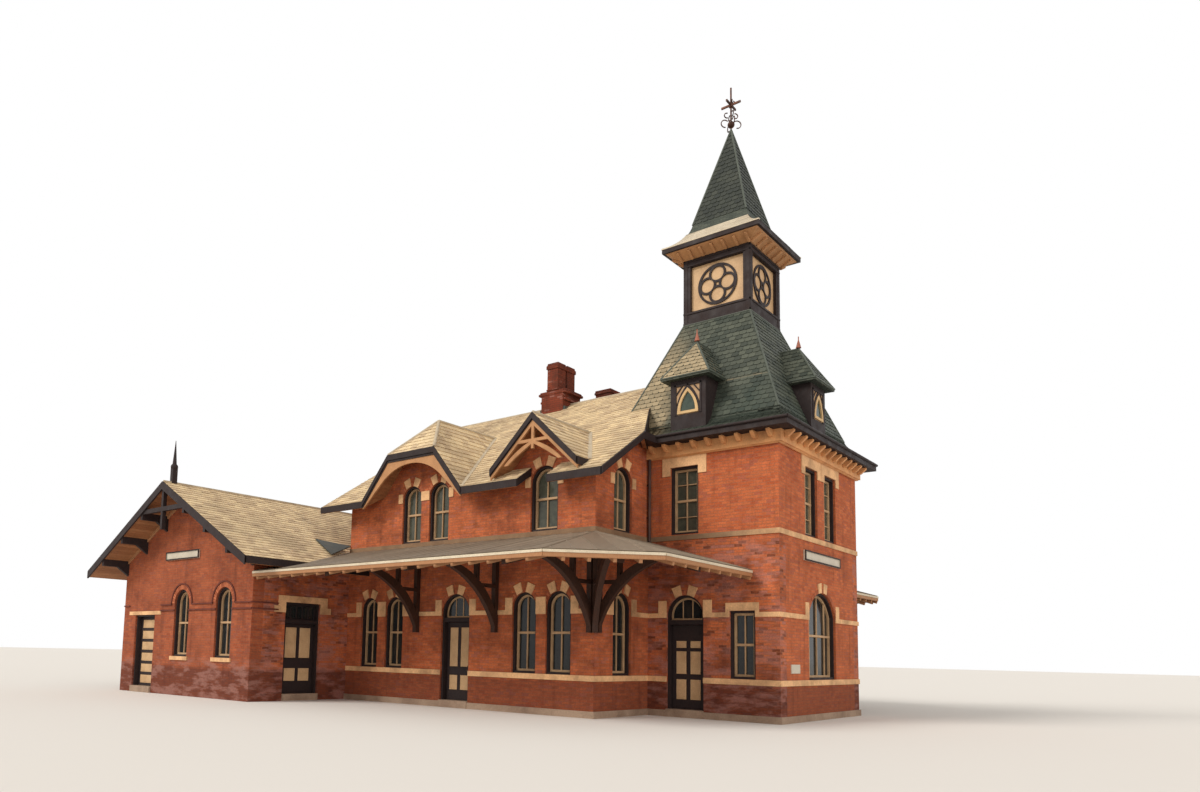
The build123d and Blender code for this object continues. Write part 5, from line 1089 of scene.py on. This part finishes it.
class STATION_OT_chimney_bands(bpy.types.Operator):
    """Sets the corbelled caps and the lead skirts of the chimneys"""
    bl_idname = "station.chimney_bands"
    bl_label = "Chimney bands"

    def execute(self, context):
        bands = [bar((-1.0, -0.49, 10.3), (0.14, 0.55, 10.38), 0.015),
                 bar((-0.97, -0.46, 10.38), (0.11, 0.52, 10.44), 0.025),
                 bar((-0.95, -0.44, 10.05), (0.09, 0.5, 10.12), 0.012),
                 bar((0.17, 1.16, 10.56), (0.85, 1.84, 10.64), 0.015),
                 bar((0.19, 1.18, 10.64), (0.83, 1.82, 10.71), 0.015)]
        for middle in (-0.235, 0.295):
            bands.append(bar((-0.68, middle - 0.25, 10.44), (-0.18, middle + 0.25, 10.5), 0.015))
            bands.append(bar((-0.665, middle - 0.235, 11.32), (-0.195, middle + 0.235, 11.36), 0.01))
        fit("chimney_bands", bands, "chimney brick")
        skirts = [bar((-0.96, -0.45, 9.4), (0.1, 0.51, 9.83), 0.01),
                  bar((0.18, 1.17, 8.9), (0.84, 1.83, 9.38), 0.01)]
        fit("chimney_skirts", skirts, "lead")
        return {"FINISHED"}


class STATION_OT_sign_rims(bpy.types.Operator):
    """Puts the dark rims on the two bare boards"""
    bl_idname = "station.sign_rims"
    bl_label = "Sign rims"

    def execute(self, context):
        low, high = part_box("signboards")
        front, side, start = high[0], low[1], low[0]
        wide, ease = 0.035, 0.004
        rims = [bar((front - 0.02, -1.275, foot), (front + 0.012, 1.275, foot + wide), ease)
                for foot in (4.11, 4.345)]
        rims += [bar((front - 0.02, edge, 4.14), (front + 0.011, edge + wide, 4.35), ease)
                 for edge in (-1.275, 1.24)]
        rims += [bar((start - 0.005, side - 0.012, foot), (start + 1.975, side + 0.02, foot + wide), ease)
                 for foot in (4.3, 4.535)]
        rims += [bar((edge, side - 0.011, 4.33), (edge + wide, side + 0.02, 4.54), ease)
                 for edge in (start - 0.005, start + 1.94)]
        fit("sign_rims", rims, "dark paint")
        return {"FINISHED"}


class STATION_OT_canopy_sheets(bpy.types.Operator):
    """Covers the canopies with seamed metal sheets"""
    bl_idname = "station.canopy_sheets"
    bl_label = "Canopy sheets"

    def execute(self, context):
        fit("canopy_sheets", seamed_sheets("canopy_roofs", 0.5, 0.03), "laid metal")
        fit("canopy_edges", edge_boards("canopy_roofs", 0.03, 3.67, 3.735), "pale edge")
        fit("canopy_fascias", edge_boards("canopy_roofs", 0.018, 3.575, 3.668), "rafter paint")
        return {"FINISHED"}


# Windows and doors -----------------------------------------------------------------------------

class STATION_OT_glazing_bars(bpy.types.Operator):
    """Sets the glazing bars in every sash"""
    bl_idname = "station.glazing_bars"
    bl_label = "Glazing bars"

    def execute(self, context):
        sets = []
        for (width, sill, top, rise), places in window_kinds().items():
            wide, middle, half = width > 1.5, (sill + top) / 2, width / 2
            bars = []
            for x in (-0.55, 0.0, 0.55) if wide else (0.0,):
                head = top - 0.1 - (rise * abs(x) / width if wide else 0.0)
                bars.append(bar((x - 0.016, 0.153, sill + 0.09), (x + 0.016, 0.197, head), 0.006))
            if width in (0.82, SMALL_WINDOW) and rise == 0.0:
                for height in ((sill + middle) / 2 + 0.02, (middle + top) / 2 - 0.02):
                    bars.append(bar((-half + 0.1, 0.156, height - 0.012),
                                    (half - 0.1, 0.194, height + 0.012), 0.005))
            bars.append(bar((-half + 0.062, 0.14, middle - 0.032), (half - 0.062, 0.2, middle + 0.032), 0.008))
            sets.append(copied(joined(bars), places))
        fit("glazing_bars", sets, "tan paint")
        return {"FINISHED"}


class STATION_OT_brick_arches(bpy.types.Operator):
    """Turns a ring of bricks over every arched opening"""
    bl_idname = "station.brick_arches"
    bl_label = "Brick arches"

    def execute(self, context):
        kinds = window_kinds()
        for name in ("hall_door", "tower_door"):
            width, top, rise = DOORWAYS[name][:3]
            kinds[(width, 0.2, top, rise)] = doorway_places(name)
        rings = []
        for (width, sill, top, rise), places in kinds.items():
            if not rise:
                continue
            bend = (width * width / 4 + rise * rise) / (2 * rise)
            spread = 2 * atan2(width / 2, bend - rise)
            count = int(spread * (bend + 0.06) / ARCH_BRICK)
            proud, tall = (0.012, 0.15) if sill == WING_SILL else (0.008, 0.112)
            brick = bar((-0.031, -proud, bend + 0.004), (0.031, 0.03, bend + tall), 0.003)
            faces = len(brick.data.polygons)
            turns = [Matrix.Translation((0, 0, top - bend))
                     @ Matrix.Rotation(spread * ((index + 0.5) / count - 0.5), 4, "Y") for index in range(count)]
            rings.append(copied(copied(brick, turns), places))
        arches = joined(rings)
        shade_each(arches, 5, faces)
        fit("brick_arches", [arches], "arch brick")
        return {"FINISHED"}


class STATION_OT_wing_moulds(bpy.types.Operator):
    """Runs the wing's thin string courses and hood moulds round its windows"""
    bl_idname = "station.wing_moulds"
    bl_label = "Wing string courses"

    def execute(self, context):
        made = []
        low, high, thick, front, back = 2.655, 2.84, 0.045, -0.035, 0.01
        for (width, sill, top, rise), places in window_kinds().items():
            if sill != WING_SILL:
                continue
            bend = width / 2
            ring = arch_bar(bend + 0.16, thick, front, back, pi, pi, 18)
            hood = [moved(ring, Matrix.Translation((0, 0, top - bend)))]
            for side in SIDES:
                inner, outer, end = (side * (bend + reach) for reach in (0.16, 0.205, 0.34))
                hood.append(bar((min(inner, outer), front, 2.87), (max(inner, outer), back, top - bend)))
                hood.append(bar((min(inner, end), front, high), (max(inner, end), back, high + thick)))
            made.append(copied(joined(hood), places))
        first, second = WING_WINDOWS
        half, wide, doorway = 0.44, 0.44 + 0.34, -9.9
        for side in SIDES:
            y0, y1 = sorted((side * 8.935, side * 8.89))
            for x0, x1 in ((-12.385, -12.0), (doorway, first - wide), (first + wide, second - wide),
                           (second + wide, WING_SIDE)):
                made.append(bar((x0, y0, high), (x1, y1, high + thick)))
            for x0, x1 in ((doorway, first - half), (first + half, second - half), (second + half, WING_SIDE)):
                made.append(bar((x0, y0, low), (x1, y1, low + thick)))
            y0, y1 = sorted((side * WING_FACE, side * 8.01))
            for height in (low, high):
                made.append(bar((-4.73, y0, height), (-4.68, y1, height + thick)))
        fit("wing_string_courses", made, "dark brick")
        return {"FINISHED"}


def raised_panel(x0, x1, z0, z1, back, proud):
    """A fielded panel for a door leaf, from its back in the leaf to its proud face."""
    plate = bar((x0, min(back, proud), z0), (x1, max(back, proud), z1))
    side = 1 if proud > back else -1
    with editing(plate, faces=lambda face: face.normal.y * side > 0.9):
        bpy.ops.mesh.inset(thickness=0.012, depth=-0.008)
        bpy.ops.mesh.inset(thickness=0.03, depth=0.008)
    return plate


class STATION_OT_door_panels(bpy.types.Operator):
    """Sets the pale raised panels in every door leaf"""
    bl_idname = "station.door_panels"
    bl_label = "Door panels"

    def execute(self, context):
        fixed, stile, ease = [], 0.11, 0.006
        outer, inner = (0.2155, 0.2035), (0.2295, 0.2415)
        for name, (columns, rows) in DOOR_PANELS.items():
            for place, gap in zip(doorway_places(name), (0.008, 0.0)):
                leaf = DOORWAYS[name][0] - 0.12 - 2 * gap
                panel = (leaf - stile * (columns + 1)) / columns
                plates = []
                for low, high in rows:
                    for column in range(columns):
                        x = -leaf / 2 + stile + column * (panel + stile)
                        for depths in (outer, inner):
                            plates.append(raised_panel(x + ease, x + panel - ease, low + ease, high - ease,
                                                       *depths))
                whole = moved(joined(plates), place)
                if gap:
                    fit(name + "_panels", [whole], "cream paint", name)
                else:
                    fixed.append(whole)
        fit("far_door_panels", fixed, "cream paint")
        return {"FINISHED"}


class STATION_OT_fanlights(bpy.types.Operator):
    """Frames the glass over the doors"""
    bl_idname = "station.fanlights"
    bl_label = "Fanlights"

    def execute(self, context):
        arched, barred = [], []
        front, back = 0.17, 0.22
        for name, (width, top, rise, leaf_top, *_) in DOORWAYS.items():
            if top < 2.6:
                continue
            base, half = leaf_top + 0.12, width / 2 - REVEAL
            if rise:
                bend, spring = rise - REVEAL, top - rise
                ring = arch_bar(bend - 0.05, 0.05, front, back, pi, pi, 18)
                pieces = [moved(ring, Matrix.Translation((0, 0, spring)))]
                for side in SIDES:
                    x0, x1 = sorted((side * half, side * (half - 0.05)))
                    pieces.append(bar((x0, front, base), (x1, back, spring)))
                pieces.append(bar((-half, 0.165, base), (half, back, base + 0.05), 0.006))
                for x in (-0.14, 0.14):
                    head = spring + (bend * bend - x * x) ** 0.5 - 0.03
                    pieces.append(bar((x - 0.012, 0.175, base + 0.04), (x + 0.012, 0.212, head)))
            else:
                pieces = [bar((-half, front, base), (half, back, base + 0.045), 0.006),
                          bar((-half, front, top - 0.105), (half, back, top - REVEAL), 0.006)]
                for step in range(6):
                    x = -half + 0.0225 + step * (2 * half - 0.045) / 5
                    pieces.append(bar((x - 0.0225, front, base + 0.04), (x + 0.0225, back, top - 0.1), 0.005))
            (arched if rise else barred).append(copied(joined(pieces), doorway_places(name)))
        fit("arched_fanlights", arched, "tan paint")
        fit("barred_fanlights", barred, "dark paint")
        return {"FINISHED"}


# Tower -----------------------------------------------------------------------------------------

TOWER_X = 5.845  # its axis, and the middle of its side dormers
CORNICE_FOOT, CORNICE_TOP = 6.87, 7.198
EAVE_CORNERS = [(4.36, -3.37), (8.835, -3.37), (8.835, 3.37), (4.36, 3.37)]
DORMER_SILL, DORMER_HEAD, DORMER_RIDGE = 8.06, 8.892, 10.2
LANTERN_RAILS = ((11.25, 11.32), (11.56, 11.63), (13.02, 13.07), (13.16, 13.23))
# The place, radius, start and sweep of each scroll on the finial.
SCROLLS = ((0.19, 17.68, 0.13, 0.75 * pi, 1.3 * pi), (0.13, 17.95, 0.09, 0.6 * pi, 1.25 * pi),
           (0.07, 18.4, 0.045, 0.5 * pi, 1.2 * pi))


def quarter_turns(start=0.0):
    """The four sides of the tower, as turns about its axis."""
    return [Matrix.Translation((TOWER_X, 0, 0)) @ Matrix.Rotation(start + turn * pi / 2, 4, "Z")
            for turn in range(4)]


def modillion(width, reach, deep):
    """A cornice bracket with a rounded foot, its back against the wall at y 0, its top at z 0."""
    piece = bar((-width / 2, -reach, -deep), (width / 2, 0, 0))
    waist = -0.3 * deep
    shift(piece, (0, 0.62 * reach, 0), [point.index for point in piece.data.vertices
                                        if point.co.y < -0.5 * reach and point.co.z < -0.5 * deep])
    with editing(piece):
        bpy.ops.mesh.bisect(plane_co=(0, 0, waist), plane_no=UP)
    shift(piece, (0, -0.17 * reach, 0), [point.index for point in piece.data.vertices
                                         if abs(point.co.z - waist) < 0.002 and point.co.y < -0.3 * reach])
    return bevel(piece, 0.012, 2)


class STATION_OT_cornice(bpy.types.Operator):
    """Sets the brackets and mouldings under the tower's eave"""
    bl_idname = "station.cornice"
    bl_label = "Tower cornice"

    def execute(self, context):
        places = [wall_place(-2.7 + 5.4 * count / 13, (1, 0), 8.495) for count in range(14)]
        places += [wall_place(4.95 + 3.3 * count / 8, (0, side), side * 2.935)
                   for count in range(9) for side in SIDES]
        drop = Matrix.Translation((0, 0, CORNICE_TOP))
        cornice = [copied(modillion(0.1, 0.25, 0.18), [place @ drop for place in places])]
        for low, high in (((8.375, -2.87), (8.455, 2.87)), ((4.72, -2.895), (8.455, -2.815)),
                          ((4.72, 2.815), (8.455, 2.895))):
            cornice.append(bar((*low, CORNICE_FOOT), (*high, CORNICE_FOOT + 0.06), 0.02))
        fit("tower_modillions", cornice, "cornice")
        gutter = [rod((*start, 7.37), (*end, 7.37), 0.04) for start, end in zip(EAVE_CORNERS, EAVE_CORNERS[1:])]
        fit("tower_gutter", gutter, "dark paint")
        return {"FINISHED"}


class STATION_OT_dormer_arches(bpy.types.Operator):
    """Sets a pointed window with dark braces in each dormer of the mansard"""
    bl_idname = "station.dormer_arches"
    bl_label = "Dormer windows"

    def execute(self, context):
        places = [wall_place(TOWER_X, (0, -1), -2.7), wall_place(TOWER_X, (0, 1), 2.7),
                  wall_place(0, (1, 0), 8.345)]
        low, high = DORMER_SILL, DORMER_HEAD
        board = combined(bar((-0.392, 0.01, low), (0.392, 0.05, high)),
                         pointed(0.29, 0.66, low + 0.04, -0.1, 0.1), "DIFFERENCE")
        fit("dormer_spandrels", [copied(board, places)], "tan paint")
        arch = combined(pointed(0.31, 0.7, low + 0.02, -0.03, 0.03),
                        pointed(0.225, 0.53, low + 0.09, -0.1, 0.1), "DIFFERENCE")
        fit("dormer_arches", [copied(bevel(arch, 0.006), places)], "dormer frame")
        braces = [combined(pointed(0.37, 0.84, low - 0.01, -0.012, 0.02),
                           pointed(0.315, 0.71, low - 0.02, -0.1, 0.1), "DIFFERENCE")]
        for side in SIDES:
            inner, outer = sorted((side * 0.345, side * 0.4))
            braces.append(bar((inner, -0.02, low - 0.01), (outer, 0.02, high + 0.01), 0.006))
            braces.append(strut((side * 0.13, 0, high), (side * 0.375, 0, high - 0.3), 0.03, 0.035))
        braces.append(bar((-0.4, -0.02, high - 0.05), (0.4, 0.02, high + 0.01), 0.006))
        braces.append(bar((-0.03, -0.02, low + 0.69), (0.03, 0.02, high), 0.006))
        fit("dormer_braces", [copied(joined(braces), places)], "dark paint")
        pane = pointed(0.25, 0.58, low + 0.06, 0.012, 0.02)
        panes = fit("dormer_panes", [copied(pane, places)], "dormer glass")
        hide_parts("mansard_dormer_windows")
        tips, z = [], DORMER_RIDGE
        for x, y in ((TOWER_X, -2.18), (TOWER_X, 2.18), (7.825, 0)):
            deselect()
            bpy.ops.mesh.primitive_cone_add(vertices=12, radius1=0.075, radius2=0.012, depth=0.24,
                                            location=(x, y, z + 0.15))
            tips += [shaped(), rod((x, y, z - 0.05), (x, y, z + 0.36), 0.014, 8)]
        fit("dormer_tips", tips, "tip")
        return {"FINISHED"}


class STATION_OT_lantern(bpy.types.Operator):
    """Sets the brackets under the spire's eave and the trim of the lantern"""
    bl_idname = "station.lantern"
    bl_label = "Lantern and spire eave"

    def execute(self, context):
        lean = Matrix.Rotation(-atan2(0.2, 0.36), 4, "Y")
        brackets = [around @ (Matrix.Translation((1.06, -1.05 + 2.1 * count / 6, 13.225)) @ lean)
                    for around in quarter_turns() for count in range(7)]
        block = bar((0.02, -0.035, -0.07), (0.36, 0.035, 0.01), 0.012)
        fit("soffit_blocks", [copied(block, brackets)], "soffit tan")
        edges = [moved(bar((1.45, -1.515, 13.553), (1.515, 1.515, 13.585), 0.006), around)
                 for around in quarter_turns()[1::2]]
        fit("spire_edge", edges, "pale edge")
        trims = []
        for around in quarter_turns():
            for low, high in LANTERN_RAILS:
                trims.append(moved(bar((1.0, -1.045, low), (1.045, 1.045, high), 0.01), around))
            for side in SIDES:
                y0, y1 = sorted((side * 1.04, side * 0.9))
                trims.append(moved(bar((1.0, y0, 11.3), (1.035, y1, 13.2), 0.01), around))
        fit("lantern_trim", trims, "dark paint")
        scrolls = []
        for around in quarter_turns(pi / 4):
            for x, z, radius, first, sweep in SCROLLS:
                curl = arch_bar(radius - 0.025, 0.025, -0.012, 0.012, first, sweep, 14)
                scrolls.append(moved(curl, around @ Matrix.Translation((x, 0, z))))
        fit("finial_scrolls", scrolls, "iron")
        return {"FINISHED"}


# Stage -----------------------------------------------------------------------------------------

CAMERA_PLACE = Vector((16.699, -23.014, 1.518))
CAMERA_TURN = (40.78, 5.80, 1.34)
CAMERA_SHIFT = (0.0865, 0.1425)


def camera_matrix(turn):
    yaw, pitch, roll = (radians(angle) for angle in turn)
    ahead = Vector((-sin(yaw) * cos(pitch), cos(yaw) * cos(pitch), sin(pitch)))
    right = Vector((cos(yaw), sin(yaw), 0))
    up = right.cross(ahead)
    across = cos(roll) * right + sin(roll) * up
    above = -sin(roll) * right + cos(roll) * up
    turned = Matrix((across, above, -ahead)).transposed().to_4x4()
    return Matrix.Translation(CAMERA_PLACE) @ turned


def soft_sun(name, towards, strength, spread, colour):
    deselect()
    bpy.ops.object.light_add(type="SUN", location=(0, 0, 30))
    lamp = bpy.context.object
    lamp.name = name
    lamp.rotation_euler = Vector(towards).to_track_quat("-Z", "Y").to_euler()
    lamp.data.energy, lamp.data.angle, lamp.data.color = strength, radians(spread), colour


def pale_world():
    """A soft warm light all round, which the camera, the gloss and the glass see as white."""
    world = bpy.data.worlds.new("Studio")
    world.use_nodes = True
    tree = world.node_tree
    tree.nodes.clear()
    path = tree.nodes.new("ShaderNodeLightPath").outputs
    camera, gloss, glass = (Signal(tree, path[f"Is {ray} Ray"]) for ray in ("Camera", "Glossy", "Transmission"))
    soft = add_node(tree, "ShaderNodeBackground", Color=(1.0, 0.93, 0.85, 1), Strength=0.5)[0]
    white = add_node(tree, "ShaderNodeBackground", Color=(1, 1, 1, 1), Strength=1.0)[0]
    either = tree.nodes.new("ShaderNodeMixShader")
    seen = maths("MAXIMUM", maths("MAXIMUM", camera, gloss), glass)
    for socket, signal in zip(either.inputs, (seen, soft, white)):
        plug(socket, signal)
    add_node(tree, "ShaderNodeOutputWorld", Surface=Signal(tree, either.outputs[0]))
    return world


class STATION_OT_stage(bpy.types.Operator):
    """Sets the pale floor, the soft light and the camera"""
    bl_idname = "station.stage"
    bl_label = "Floor, light and camera"

    def execute(self, context):
        sizes = context.scene.station_sizes
        deselect()
        bpy.ops.mesh.primitive_plane_add(size=2 * sizes.floor_reach, location=(0, 0, -0.002))
        floor = context.object
        floor.name = "pale_floor"
        plain, _, inputs = blank("Pale floor", 0.5)
        inputs["Base Color"].default_value = (0.78, 0.77, 0.75, 1)
        inputs["Roughness"].default_value = 0.9
        floor.data.materials.append(plain)

        context.scene.world = pale_world()
        soft_sun("Key", (0.35, 0.72, -0.6), 2.1, 24.0, (1.0, 0.94, 0.86))
        soft_sun("Fill", (-0.85, 0.4, -0.35), 1.2, 60.0, (1.0, 0.93, 0.86))

        deselect()
        bpy.ops.object.camera_add()
        camera = context.object
        camera.matrix_world = camera_matrix(CAMERA_TURN)
        camera.data.lens, camera.data.sensor_width = sizes.lens, 36.0
        camera.data.shift_x, camera.data.shift_y = CAMERA_SHIFT
        camera.data.clip_start, camera.data.clip_end = 0.1, 1000.0
        context.scene.camera = camera
        context.scene.view_settings.view_transform = "Standard"
        return {"FINISHED"}


class STATION_PT_panel(bpy.types.Panel):
    bl_idname = "STATION_PT_panel"
    bl_label = "Station building"
    bl_space_type = "VIEW_3D"
    bl_region_type = "UI"
    bl_category = "Station"

    def draw(self, context):
        for group in (context.scene.station_sizes, context.scene.station_colours):
            column = self.layout.column(align=True)
            for key in group.__annotations__:
                column.prop(group, key)
        for operator in OPERATORS:
            self.layout.operator(operator.bl_idname)


OPERATORS = [
    STATION_OT_finishes, STATION_OT_slates, STATION_OT_tower_slates, STATION_OT_soffits,
    STATION_OT_chimney_bands, STATION_OT_sign_rims, STATION_OT_canopy_sheets, STATION_OT_glazing_bars,
    STATION_OT_brick_arches, STATION_OT_wing_moulds, STATION_OT_door_panels, STATION_OT_fanlights,
    STATION_OT_cornice, STATION_OT_dormer_arches, STATION_OT_lantern, STATION_OT_stage,
]
CLASSES = [StationColours, StationSizes, *OPERATORS, STATION_PT_panel]


def register():
    for each in CLASSES:
        bpy.utils.register_class(each)
    bpy.types.Scene.station_colours = bpy.props.PointerProperty(type=StationColours)
    bpy.types.Scene.station_sizes = bpy.props.PointerProperty(type=StationSizes)


def unregister():
    del bpy.types.Scene.station_sizes
    del bpy.types.Scene.station_colours
    for each in reversed(CLASSES):
        bpy.utils.unregister_class(each)


def main():
    register()
    for operator in OPERATORS:
        family, action = operator.bl_idname.split(".")
        getattr(getattr(bpy.ops, family), action)()
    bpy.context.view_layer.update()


if __name__ == "__main__":
    main()
